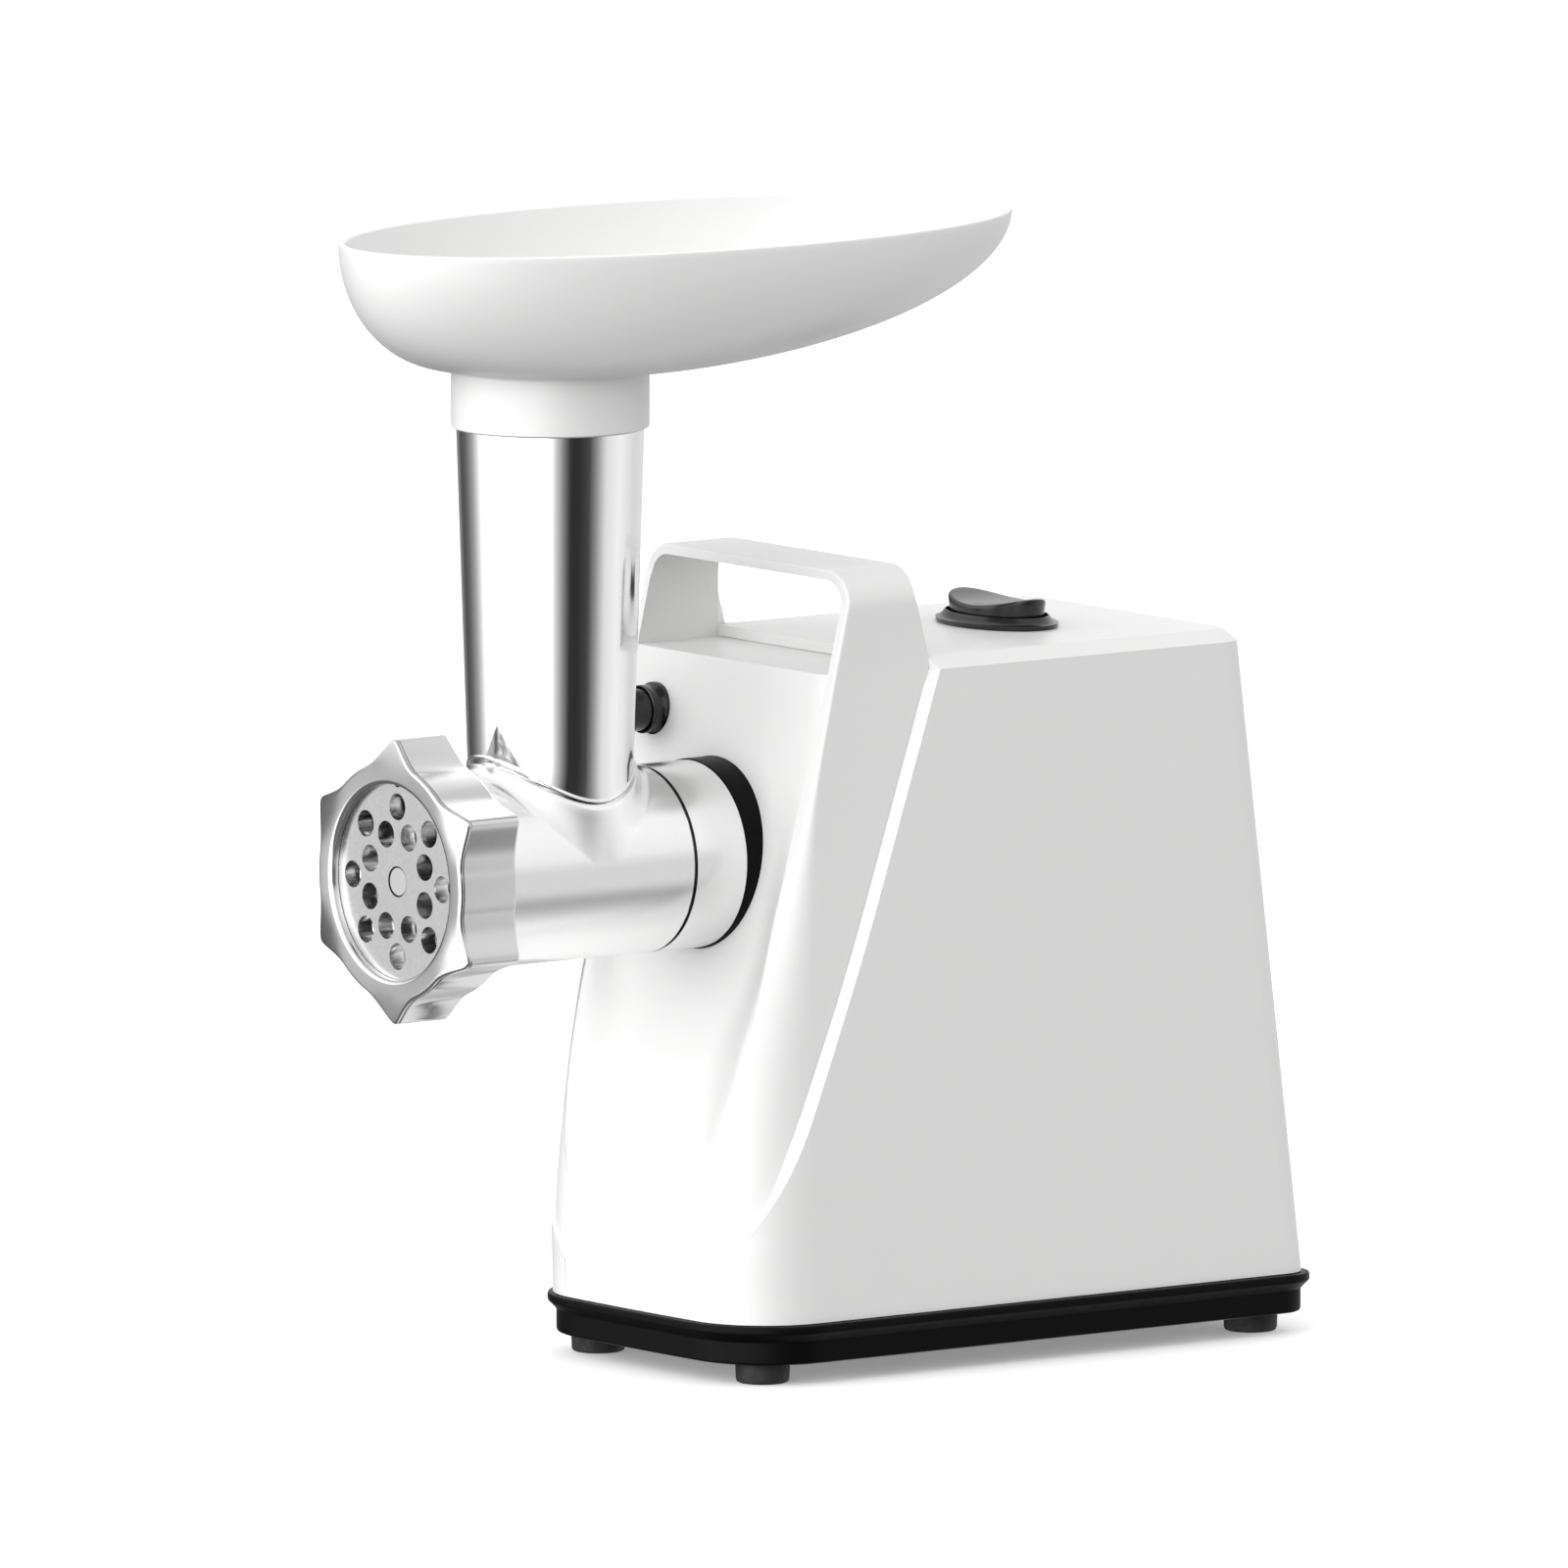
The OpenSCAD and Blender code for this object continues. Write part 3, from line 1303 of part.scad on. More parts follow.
// End plate of the motor with a bearing seat, posts to the stack and two legs to the base
module motor_bracket(y, post_y0, post_y1) {
    leg_w = 10;
    difference() {
        union() {
            translate([-bracket_half, y, motor_z - bracket_half])
                cube([2 * bracket_half, bracket_t, 2 * bracket_half]);
            for (x = [-1, 1]) translate([x * (bracket_half - leg_w / 2) - leg_w / 2, y, floor_z])
                cube([leg_w, bracket_t, motor_z - bracket_half - floor_z + over]);
            for (at = bolt_places()) rod(at, post_y0, post_y1, bolt_post_r);
        }
        rod(motor_at, y - over, y + bracket_t + over, bearing_r);
        for (at = bolt_places()) rod(at, post_y0 - reach, post_y1 + reach, bolt_hole_r);
    }
}

module motor_front_bracket() color("gray") placed() {
    motor_bracket(bracket_y, bracket_y, stack_y);
}

module motor_rear_bracket() color("gray") placed() {
    motor_bracket(rear_bracket_y, stack_end_y, rear_bracket_y + bracket_t);
}

module motor_bolts() color("silver") placed() {
    end = rear_bracket_y + bracket_t;
    for (at = bolt_places()) {
        rod(at, end, end + bolt_head_h, bolt_head_share * bolt_r);
        rod(at, bracket_y + screw_clear, end + skin, bolt_r);
    }
}

module motor_bearings() color("silver") placed() {
    for (y = [bracket_y, rear_bracket_y]) difference() {
        rod(motor_at, y, y + bracket_t, bearing_r);
        rod(motor_at, y - over, y + bracket_t + over, rotor_d / 2 + run_gap);
    }
}

module brush_holders() color("tan") placed() {
    y0 = brush_y - brush_wall_t + end_gap;
    middle_x = commutator_r + brush_holder_in + brush_holder_l / 2;
    slot_w = brush_w + brush_gap;
    for (side = [-1, 1]) difference() {
        translate([side * middle_x, (y0 + rear_bracket_y) / 2, motor_z])
            cube([brush_holder_l, rear_bracket_y - y0, brush_w + 2 * brush_wall_t], center = true);
        translate([side * middle_x, brush_y + brush_w / 2, motor_z])
            cube([brush_holder_l + 2 * over, slot_w, slot_w], center = true);
    }
}

module carbon_brushes() color("black") placed() {
    face = commutator_r + run_gap;
    brush_l = 9;
    for (side = [-1, 1]) difference() {
        translate([side * (face + brush_l / 2 - over), brush_y + brush_w / 2, motor_z])
            cube([brush_l + 2 * over, brush_w, brush_w], center = true);
        rod(motor_at, commutator_y, rear_bracket_y, face);
    }
}

rear_housing();
front_housing();
carry_handle();
base_plate();
feet();
base_screws();
head_socket();
socket_screws();
socket_seal();
button_bezel();
release_button();
lock_lever();
release_spring();
switch_bezel();
switch_rocker();
switch_body();
cord_gland();
barrel();
plate_key();
feed_tube();
ring_nut();
cutting_plate();
cutting_knife();
auger();
feed_tray();
gearbox_case();
gearbox_cover();
gearbox_screws();
idler_pins();
drive_bushes();
drive_shaft();
output_gear();
idler_gear_1();
idler_gear_2();
motor_pinion();
rotor_shaft();
armature();
armature_windings();
commutator();
motor_fan();
motor_stator();
field_coils();
motor_front_bracket();
motor_rear_bracket();
motor_bolts();
motor_bearings();
brush_holders();
carbon_brushes();
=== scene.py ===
"""Looks of an electric meat grinder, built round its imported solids.

Lengths are in millimetres. A place is (x, depth, z): x runs across, depth runs back from the ring nut's
face, and z is the height above the floor.
"""
import math

import bmesh
import bpy
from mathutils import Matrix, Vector


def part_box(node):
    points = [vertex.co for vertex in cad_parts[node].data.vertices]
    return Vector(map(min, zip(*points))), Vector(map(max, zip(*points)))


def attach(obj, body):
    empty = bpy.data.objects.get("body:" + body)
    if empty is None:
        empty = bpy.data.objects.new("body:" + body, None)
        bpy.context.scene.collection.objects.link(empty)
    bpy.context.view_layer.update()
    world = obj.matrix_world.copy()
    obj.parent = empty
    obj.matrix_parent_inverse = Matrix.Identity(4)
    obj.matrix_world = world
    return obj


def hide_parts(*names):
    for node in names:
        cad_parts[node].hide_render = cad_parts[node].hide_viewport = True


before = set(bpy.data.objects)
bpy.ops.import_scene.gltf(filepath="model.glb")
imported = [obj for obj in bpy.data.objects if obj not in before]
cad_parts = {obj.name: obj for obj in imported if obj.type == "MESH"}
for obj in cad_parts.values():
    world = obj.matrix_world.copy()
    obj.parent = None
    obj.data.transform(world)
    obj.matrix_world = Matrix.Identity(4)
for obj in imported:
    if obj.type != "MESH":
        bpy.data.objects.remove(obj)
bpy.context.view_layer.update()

MM = 0.001
FACE_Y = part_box("ring_nut")[0].y / MM
HALF_PI = math.pi / 2
MERGE = 0.002
SHORTEST = 0.001
SHARP_ANGLE = 32


# Numbers and places

def at(place):
    """Point in metres of a place."""
    x, depth, z = place
    return Vector((x * MM, (depth + FACE_Y) * MM, z * MM))


def measured(node):
    """Low and high places of a solid's box."""
    low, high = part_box(node)
    return [(p.x / MM, p.y / MM - FACE_Y, p.z / MM) for p in (low, high)]


def mix(a, b, share):
    return a + (b - a) * share


def ease(low, high, value):
    """Smooth step from 0 at low to 1 at high."""
    share = min(max((value - low) / (high - low), 0), 1)
    return share * share * (3 - 2 * share)


def steps(low, high, count):
    """Numbers from low to high, both included."""
    return [mix(low, high, i / count) for i in range(count + 1)]


def turn(count):
    """Angles of a full turn."""
    return [2 * math.pi * i / count for i in range(count)]


# Meshes

def loft(rings, loop=False):
    """Points and faces of a surface through rings of as many points, with flat ends or joined end to end."""
    count = len(rings[0])
    points = [p for ring in rings for p in ring]
    faces = []
    for i in range(len(rings) if loop else len(rings) - 1):
        a = i * count
        b = (i + 1) % len(rings) * count
        for j in range(count):
            k = (j + 1) % count
            faces.append((a + j, a + k, b + k, b + j))
    if not loop:
        faces.append(tuple(range(count)))
        faces.append(tuple(range(len(points) - count, len(points))))
    return points, faces


def shell(outer, inner, skip_wall=lambda i: False):
    """Points and faces of a sheet with thickness, from two grids of places with as many rows and columns.

    The first column's wall is left out between rows i and i + 1 where skip_wall(i) is true.
    """
    rows = len(outer)
    columns = len(outer[0])
    points = [p for grid in (outer, inner) for row in grid for p in row]
    size = rows * columns

    def index(side, i, j):
        return side * size + i * columns + j

    faces = []
    for side in (0, 1):
        for i in range(rows - 1):
            for j in range(columns - 1):
                corners = ((i, j), (i, j + 1), (i + 1, j + 1), (i + 1, j))
                faces.append(tuple(index(side, *c) for c in corners))
    rim = [((0, j), (0, j + 1)) for j in range(columns - 1)]
    rim += [((rows - 1, j), (rows - 1, j + 1)) for j in range(columns - 1)]
    rim += [((i, columns - 1), (i + 1, columns - 1)) for i in range(rows - 1)]
    rim += [((i, 0), (i + 1, 0)) for i in range(rows - 1) if not skip_wall(i)]
    for a, b in rim:
        faces.append((index(0, *a), index(0, *b), index(1, *b), index(1, *a)))
    return points, faces


def revolve_y(profile, count, x, z):
    """Rings of (radius, depth) about an axis along the depth."""
    return [[(x + r * math.cos(a), depth, z + r * math.sin(a)) for a in turn(count)] for r, depth in profile]


def revolve_z(profile, count, x, depth):
    """Rings of (radius, height) about an upright axis."""
    return [[(x + r * math.cos(a), depth + r * math.sin(a), z) for a in turn(count)] for r, z in profile]


def oval(half_x, half_depth, depth, z, count):
    return [(half_x * math.cos(a), depth + half_depth * math.sin(a), z) for a in turn(count)]


def prism(ring, low, high):
    """Upright bar with the outline of a ring of places."""
    return loft([[(x, y, z) for x, y, _ in ring] for z in (low, high)])


def joined(parts):
    """Points and faces of several closed surfaces in one mesh."""
    points = []
    faces = []
    for part_points, part_faces in parts:
        first = len(points)
        points += part_points
        faces += [tuple(first + k for k in face) for face in part_faces]
    return points, faces


def solid(name, surface):
    """Object of a closed surface, with doubled points merged and its faces turned outwards."""
    points, faces = surface
    mesh = bpy.data.meshes.new(name)
    mesh.from_pydata([at(p) for p in points], [], faces)
    work = bmesh.new()
    work.from_mesh(mesh)
    bmesh.ops.remove_doubles(work, verts=work.verts, dist=MERGE * MM)
    bmesh.ops.dissolve_degenerate(work, edges=work.edges, dist=SHORTEST * MM)
    bmesh.ops.recalc_face_normals(work, faces=work.faces)
    work.to_mesh(mesh)
    work.free()
    made = bpy.data.objects.new(name, mesh)
    bpy.context.scene.collection.objects.link(made)
    return made


def settle(piece):
    """Applies a piece's modifiers."""
    graph = bpy.context.evaluated_depsgraph_get()
    mesh = bpy.data.meshes.new_from_object(piece.evaluated_get(graph))
    piece.modifiers.clear()
    piece.data = mesh


def combine(piece, operation, *surfaces):
    """Joins closed surfaces to a piece, or takes them out of it."""
    for surface in surfaces:
        tool = solid("tool", surface)
        modifier = piece.modifiers.new("combine", "BOOLEAN")
        modifier.operation = operation
        modifier.solver = "EXACT"
        modifier.object = tool
        settle(piece)
        bpy.data.objects.remove(tool)


def cut(piece, *surfaces):
    combine(piece, "DIFFERENCE", *surfaces)


def round_edges(piece, width, angle=SHARP_ANGLE, segments=3):
    """Rounds the edges that are sharper than an angle."""
    modifier = piece.modifiers.new("round", "BEVEL")
    modifier.width = width * MM
    modifier.segments = segments
    modifier.limit_method = "ANGLE"
    modifier.angle_limit = math.radians(angle)
    settle(piece)


def add(piece, body, slot, nodes, sharp=SHARP_ANGLE, look=None):
    """Gives a piece its finish, its shading, the body that it rides on and the solids that it stands for."""
    piece.data.shade_smooth()
    piece.data.set_sharp_from_angle(angle=math.radians(sharp))
    modifier = piece.modifiers.new("normals", "WEIGHTED_NORMAL")
    modifier.keep_sharp = True
    settle(piece)
    piece.data.materials.clear()
    piece.data.materials.append(FINISH[look or slot])
    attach(piece, body)
    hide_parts(*nodes)
    return piece


# Finishes
NOISE_LOW = 0.3
NOISE_HIGH = 0.7
SMOOTHEST = 0.02
BUMP_HEIGHT = 0.2


def finish(name, colour, rough, grain, bump, metallic=0, stretch=(1, 1, 1), shine=0.5, wear=0.06):
    """Procedural finish: noise varies the colour and the roughness, and a finer noise raises the surface.

    rough is the roughness and its spread, bump the strength and the scale of the finer noise.
    """
    roughness, spread = rough
    bump_strength, bump_scale = bump
    material = bpy.data.materials.new(name)
    material.use_nodes = True
    tree = material.node_tree
    shader = tree.nodes["Principled BSDF"]
    shader.inputs["Metallic"].default_value = metallic
    shader.inputs["Specular IOR Level"].default_value = shine

    def node(kind, **values):
        made = tree.nodes.new(kind)
        for key, value in values.items():
            made.inputs[key].default_value = value
        return made

    place = node("ShaderNodeTexCoord")
    spread_map = node("ShaderNodeMapping", Scale=stretch)
    tree.links.new(place.outputs["Object"], spread_map.inputs["Vector"])

    def noise(scale, detail):
        made = node("ShaderNodeTexNoise", Scale=scale, Detail=detail)
        tree.links.new(spread_map.outputs["Vector"], made.inputs["Vector"])
        return made

    coarse = noise(grain, 4)
    varied = node("ShaderNodeMapRange")
    varied.inputs["From Min"].default_value = NOISE_LOW
    varied.inputs["From Max"].default_value = NOISE_HIGH
    varied.inputs["To Min"].default_value = max(roughness - spread, SMOOTHEST)
    varied.inputs["To Max"].default_value = roughness + spread
    tree.links.new(coarse.outputs["Fac"], varied.inputs["Value"])
    tree.links.new(varied.outputs["Result"], shader.inputs["Roughness"])
    ramp = tree.nodes.new("ShaderNodeValToRGB")
    for stop, share in zip(ramp.color_ramp.elements, (1 - wear, 1 + wear / 3)):
        stop.color = [min(c * share, 1) for c in colour] + [1]
    patches = noise(grain / 6, 2)
    tree.links.new(patches.outputs["Fac"], ramp.inputs["Fac"])
    tree.links.new(ramp.outputs["Color"], shader.inputs["Base Color"])
    fine = noise(bump_scale, 3)
    raised = node("ShaderNodeBump", Strength=bump_strength, Distance=BUMP_HEIGHT * MM)
    tree.links.new(fine.outputs["Fac"], raised.inputs["Height"])
    tree.links.new(raised.outputs["Normal"], shader.inputs["Normal"])
    return material


def grey(value, warm=0.0):
    return (value + warm, value, value - warm)


TURNED = (0.15, 8, 0.15)
BRUSHED = (1, 0.1, 1)
DRAWN = (1, 1, 0.06)
STACKED = (0.3, 9, 0.3)

LOOKS = {
    "white_plastic": dict(colour=grey(0.80, 0.003), rough=(0.34, 0.04), grain=260, bump=(0.04, 2600),
                          wear=0.01),
    "black_plastic": dict(colour=grey(0.006), rough=(0.2, 0.03), grain=300, bump=(0.02, 2600), wear=0.1),
    "inner_plastic": dict(colour=grey(0.05), rough=(0.5, 0.08), grain=300, bump=(0.15, 1500), wear=0.2),
    "rubber": dict(colour=grey(0.018), rough=(0.72, 0.1), grain=400, bump=(0.3, 1800), wear=0.3),
    "satin_aluminium": dict(colour=grey(0.88), rough=(0.22, 0.02), grain=600, bump=(0.01, 1800), metallic=1,
                            stretch=TURNED, wear=0.02),
    "polished_steel": dict(colour=grey(0.86), rough=(0.11, 0.02), grain=500, bump=(0.015, 900), metallic=1,
                           stretch=DRAWN),
    "cutter_steel": dict(colour=grey(0.74), rough=(0.25, 0.04), grain=700, bump=(0.02, 1500), metallic=1,
                         stretch=BRUSHED, wear=0.03),
    "machined_steel": dict(colour=grey(0.56), rough=(0.25, 0.06), grain=700, bump=(0.05, 1500), metallic=1,
                           stretch=TURNED),
    "gear_nylon": dict(colour=(0.72, 0.70, 0.62), rough=(0.45, 0.06), grain=300, bump=(0.06, 1200)),
    "gearbox_plastic": dict(colour=grey(0.10), rough=(0.5, 0.08), grain=300, bump=(0.15, 1500), wear=0.2),
    "bracket_aluminium": dict(colour=grey(0.6), rough=(0.42, 0.08), grain=500, bump=(0.1, 1400), metallic=1),
    "lamination_steel": dict(colour=grey(0.38), rough=(0.42, 0.08), grain=500, bump=(0.2, 1200), metallic=1,
                             stretch=STACKED),
    "copper_wire": dict(colour=(0.62, 0.27, 0.12), rough=(0.32, 0.08), grain=600, bump=(0.25, 900),
                        metallic=1),
    "bronze": dict(colour=(0.55, 0.38, 0.20), rough=(0.34, 0.06), grain=500, bump=(0.06, 1500), metallic=1,
                   stretch=TURNED),
    "carbon": dict(colour=grey(0.03), rough=(0.6, 0.08), grain=500, bump=(0.2, 1500), wear=0.3),
    "base_black": dict(colour=grey(0.004), rough=(0.36, 0.04), grain=300, bump=(0.04, 2600), shine=0.06,
                       wear=0.1),
    "ring_metal": dict(colour=grey(0.66), rough=(0.14, 0.02), grain=600, bump=(0.005, 1800), metallic=1,
                       wear=0.02),
}
FINISH = {name: finish(name, **values) for name, values in LOOKS.items()}

# Solids that are shown as they are, by finish
SHOWN_NODES = {
    "inner_plastic": ["switch_body", "motor_fan", "brush_holders"],
    "rubber": ["cord_gland"],
    "satin_aluminium": ["auger", "head_socket"],
    "cutter_steel": ["cutting_knife", "plate_key"],
    "machined_steel": [
        "drive_shaft", "rotor_shaft", "idler_pins", "motor_pinion", "lock_lever", "release_spring",
        "motor_bearings", "base_screws", "socket_screws", "gearbox_screws", "motor_bolts"],
    "gear_nylon": ["output_gear", "idler_gear_1", "idler_gear_2"],
    "gearbox_plastic": ["gearbox_case", "gearbox_cover"],
    "bracket_aluminium": ["motor_front_bracket", "motor_rear_bracket"],
    "lamination_steel": ["motor_stator", "armature"],
    "copper_wire": ["field_coils", "armature_windings"],
    "bronze": ["drive_bushes", "commutator"],
    "carbon": ["carbon_brushes"],
}
for look_name, node_names in SHOWN_NODES.items():
    for node_name in node_names:
        shown_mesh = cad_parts[node_name].data
        shown_mesh.materials.clear()
        shown_mesh.materials.append(FINISH[look_name])
        shown_mesh.shade_smooth()
        shown_mesh.set_sharp_from_angle(angle=math.radians(SHARP_ANGLE))
for node_name, width in (("head_socket", 0.7), ("cord_gland", 0.5)):
    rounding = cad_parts[node_name].modifiers.new("round", "BEVEL")
    rounding.width = width * MM
    rounding.segments = 3
    rounding.limit_method = "ANGLE"
    rounding.angle_limit = math.radians(40)

# Body: outline at a height, with a nearly flat front, rounded corners and straight sides
AXIS_Z = 150
BASE_TOP = 18
BASE_GAP = 0.2
SHOULDER_Z = 205.4
BODY_TOP = 209
PANEL_TOP = 205.7
WALL = 3.2
FOOT_HALF = 56
HALF_TAPER = 3.3
REAR_FOOT_Y = 294.54
REAR_LEAN = 0.115
REAR_R = 10
FRONT_R = 900
SIDE_CORNER_R = 25.5
CRISP_R = 1
CRISP_ZS = (75, 185)
SIDE_STEP = 3.3
SIDE_STEP_ZS = (15, 75)
BEVEL_W = 4.3
TOP_STEP_Y = 157
TONGUE_Y = 153
TONGUE_HALF = 46.1
STRAP_T = 3.2
STRAP_R = 11
STRAP_TOP = 235.5
STRAP_NECK_Z = 227.5

# Seam between the frame and the rear housing: straight above SEAM_Z, curving forward below it
SEAM_Z = 142
SEAM_Y = 135.2
SEAM_LEAN = 0.3525
SEAM_CURVE = 0.00085
SEAM_TUCK = 2
SEAM_SLOPE_LOW = 3.4
SEAM_SLOPE_HIGH = 2.1
SEAM_SLOPE_ZS = (50, 110)
SEAM_FRONT_GAP = 0.6

# Front: the frame's lean and the hollow panel in its recess
FOOT_DEPTH = 86.6
LEAN = 0.238
LEAN_Z = 55
LEAN_SOFT = 12
PANEL_Y = 113.6
PANEL_LEAN = 0.155
PANEL_TUCK = 0.8
RECESS_FOOT = 27
RECESS_WIDE_Z = 135
RECESS_PLANE_Z = 112
RECESS_HALF = 43
RECESS_TOP_HALF = 46
RECESS_LEAST = 0.1
FLANK_LOW = 0.6
FLANK_MIDDLE = 0.32
FLANK_HIGH = 0.06
FLANK_LOW_ZS = (95, 125)
FLANK_HIGH_ZS = (170, 200)
EDGE_GAP = 0.03
EDGE_GAP_MORE = 0.12
EDGE_GAP_ZS = (30, 70)


def half_width(z):
    return FOOT_HALF - HALF_TAPER * (min(z, SHOULDER_Z) - BASE_TOP) / (SHOULDER_Z - BASE_TOP)


def rear_depth(z):
    return REAR_FOOT_Y - REAR_LEAN * (z - BASE_TOP)


def lip_depth(z):
    """Depth of the frame's front where the panel begins: upright at its foot, then leaning back."""
    rise = z - LEAN_Z
    return FOOT_DEPTH + LEAN * (math.hypot(rise, LEAN_SOFT) + rise) / 2


def panel_depth(z):
    return PANEL_Y + PANEL_LEAN * (z - AXIS_Z)


class Outline:
    """Right half of the body's outline at a height, measured along from the end of its front corner."""

    def __init__(self, middle, half, corner):
        self.middle = middle
        self.half = half
        self.corner = corner
        self.angle = math.asin((half - corner) / (FRONT_R - corner))
        self.corner_x = (FRONT_R - corner) * math.sin(self.angle)
        self.corner_y = middle + FRONT_R - (FRONT_R - corner) * math.cos(self.angle)
        self.arc = corner * (HALF_PI - self.angle)

    def point(self, along):
        """Point and outward direction."""
        if along >= 0:
            return (self.half, self.corner_y + along), (1, 0)
        if along >= -self.arc:
            a = HALF_PI + along / self.corner
            out = (math.sin(a), -math.cos(a))
            return (self.corner_x + self.corner * out[0], self.corner_y + self.corner * out[1]), out
        a = self.angle + (along + self.arc) / FRONT_R
        out = (math.sin(a), -math.cos(a))
        return (FRONT_R * out[0], self.middle + FRONT_R + FRONT_R * out[1]), out

    def along_at_x(self, x):
        """Distance along at a place on the front or on the corner."""
        if x > FRONT_R * math.sin(self.angle):
            return self.corner * (math.asin(min((x - self.corner_x) / self.corner, 1)) - HALF_PI)
        return -self.arc - FRONT_R * (self.angle - math.asin(x / FRONT_R))

    def along_at_depth(self, depth):
        if depth >= self.corner_y:
            return depth - self.corner_y
        share = (self.corner_y - depth) / self.corner
        if share <= math.cos(self.angle):
            return self.corner * (math.acos(share) - HALF_PI)
        turned = math.acos(min((self.middle + FRONT_R - depth) / FRONT_R, 1))
        return -self.arc - FRONT_R * (self.angle - turned)


def back_row(half, rear, corner, count):
    """Rounded corner and flat back of an outline's right half, from its side to its middle."""
    row = []
    for a in steps(0, HALF_PI, count):
        row.append((half - corner + corner * math.cos(a), rear - corner + corner * math.sin(a)))
    return row + [(x, rear) for x in steps(half - corner, 0, 4)[1:]]


def side_step(z):
    """Distance that the rear housing stands out from the frame."""
    return SIDE_STEP * ease(*SIDE_STEP_ZS, z)


def recess_half(z):
    """Half width of the recess that holds the front panel."""
    if z >= RECESS_WIDE_Z:
        return mix(RECESS_HALF, RECESS_TOP_HALF, (z - RECESS_WIDE_Z) / (PANEL_TOP - RECESS_WIDE_Z))
    low = min((RECESS_WIDE_Z - z) / (RECESS_WIDE_Z - RECESS_FOOT), 1)
    return RECESS_HALF * math.sqrt(1 - low ** 3)


def frame_outline(z):
    step = side_step(z)
    half = half_width(z) - step
    corner = mix(SIDE_CORNER_R - step, CRISP_R, ease(*CRISP_ZS, z))
    turned = max(min(recess_half(min(z, PANEL_TOP)), half) - (half - corner), 0)
    set_back = corner - math.sqrt(max(corner * corner - turned * turned, 0))
    return Outline(lip_depth(min(z, STRAP_NECK_Z)) - set_back, half, corner)


def rear_outline(z):
    return Outline(frame_outline(z).middle - side_step(z), half_width(z), SIDE_CORNER_R)


def seam_along(z):
    """Place of the rear housing's front edge along its outline."""
    form = rear_outline(z)
    below = max(SEAM_Z - z, 0)
    depth = SEAM_Y + SEAM_LEAN * (z - SEAM_Z) - SEAM_CURVE * below * below
    return form.along_at_depth(max(depth, form.middle + SEAM_FRONT_GAP))


def seam_depth(z):
    """Depth of the frame's side at the rear housing's front edge."""
    (_, y), normal = rear_outline(z).point(seam_along(z))
    return y - normal[1] * side_step(z)


def frame_front(z, x):
    """Depth of the frame's front at a place across."""
    form = frame_outline(z)
    return form.point(form.along_at_x(x))[0][1]


def recess_depth(z):
    """Depth of the panel's middle behind the frame's lip."""
    plane_z = max(z, RECESS_PLANE_Z)
    deepest = max(panel_depth(plane_z) - lip_depth(plane_z), RECESS_LEAST)
    return deepest * ease(RECESS_FOOT + 1, RECESS_PLANE_Z, z)


def panel_face(z, x):
    """Depth of the front panel: hollow, and rising to the frame at its edges."""
    low_flank = mix(FLANK_LOW, FLANK_MIDDLE, ease(*FLANK_LOW_ZS, z))
    flank = mix(low_flank, FLANK_HIGH, ease(*FLANK_HIGH_ZS, z))
    share = max(abs(x) / max(recess_half(z), 1) - 1 + flank, 0) / flank
    middle = lip_depth(z) + recess_depth(z)
    edge = frame_front(z, abs(x)) + EDGE_GAP + EDGE_GAP_MORE * ease(*EDGE_GAP_ZS, z)
    return mix(middle, edge, min(share, 1) ** 2)


# Rear housing
INNER_SHOULDER = 1.3
INNER_BEVEL = 1.9


def rear_row(z, inset, depth_start, level):
    """Row at a level round the rear housing, from one front edge by the back to the other.

    It starts at the seam, or at a depth where one is given. An outer row stands back from the seam, so that
    the edge slopes.
    """
    form = rear_outline(z)
    slope = 0
    if inset == 0:
        slope = mix(SEAM_SLOPE_LOW, SEAM_SLOPE_HIGH, ease(*SEAM_SLOPE_ZS, z)) * side_step(z) / SIDE_STEP
    first = seam_along(z) + slope if depth_start is None else depth_start - form.corner_y
    half = form.half - inset
    rear = rear_depth(z) - inset
    corner = max(REAR_R - inset, 1)
    row = []
    knots = (first, max(first, -form.arc), max(first, 0))
    for (low, high), count in zip(zip(knots, knots[1:]), (4, 12)):
        for along in steps(low, high, count)[:-1]:
            (x, y), normal = form.point(along)
            row.append((x - normal[0] * inset, y - normal[1] * inset))
    side_start = form.corner_y + knots[2]
    row += [(half, y) for y in steps(side_start, rear - corner, 10)[:-1]]
    row += back_row(half, rear, corner, 8)
    return [(x, y, level) for x, y in row] + [(-x, y, level) for x, y in reversed(row[:-1])]


def top_rim(face, last, columns, size):
    """Whether a face is in the wall that joins the two sides along the top row."""
    row = set(range(last, last + columns)) | set(range(size + last, size + last + columns))
    return set(face) <= row


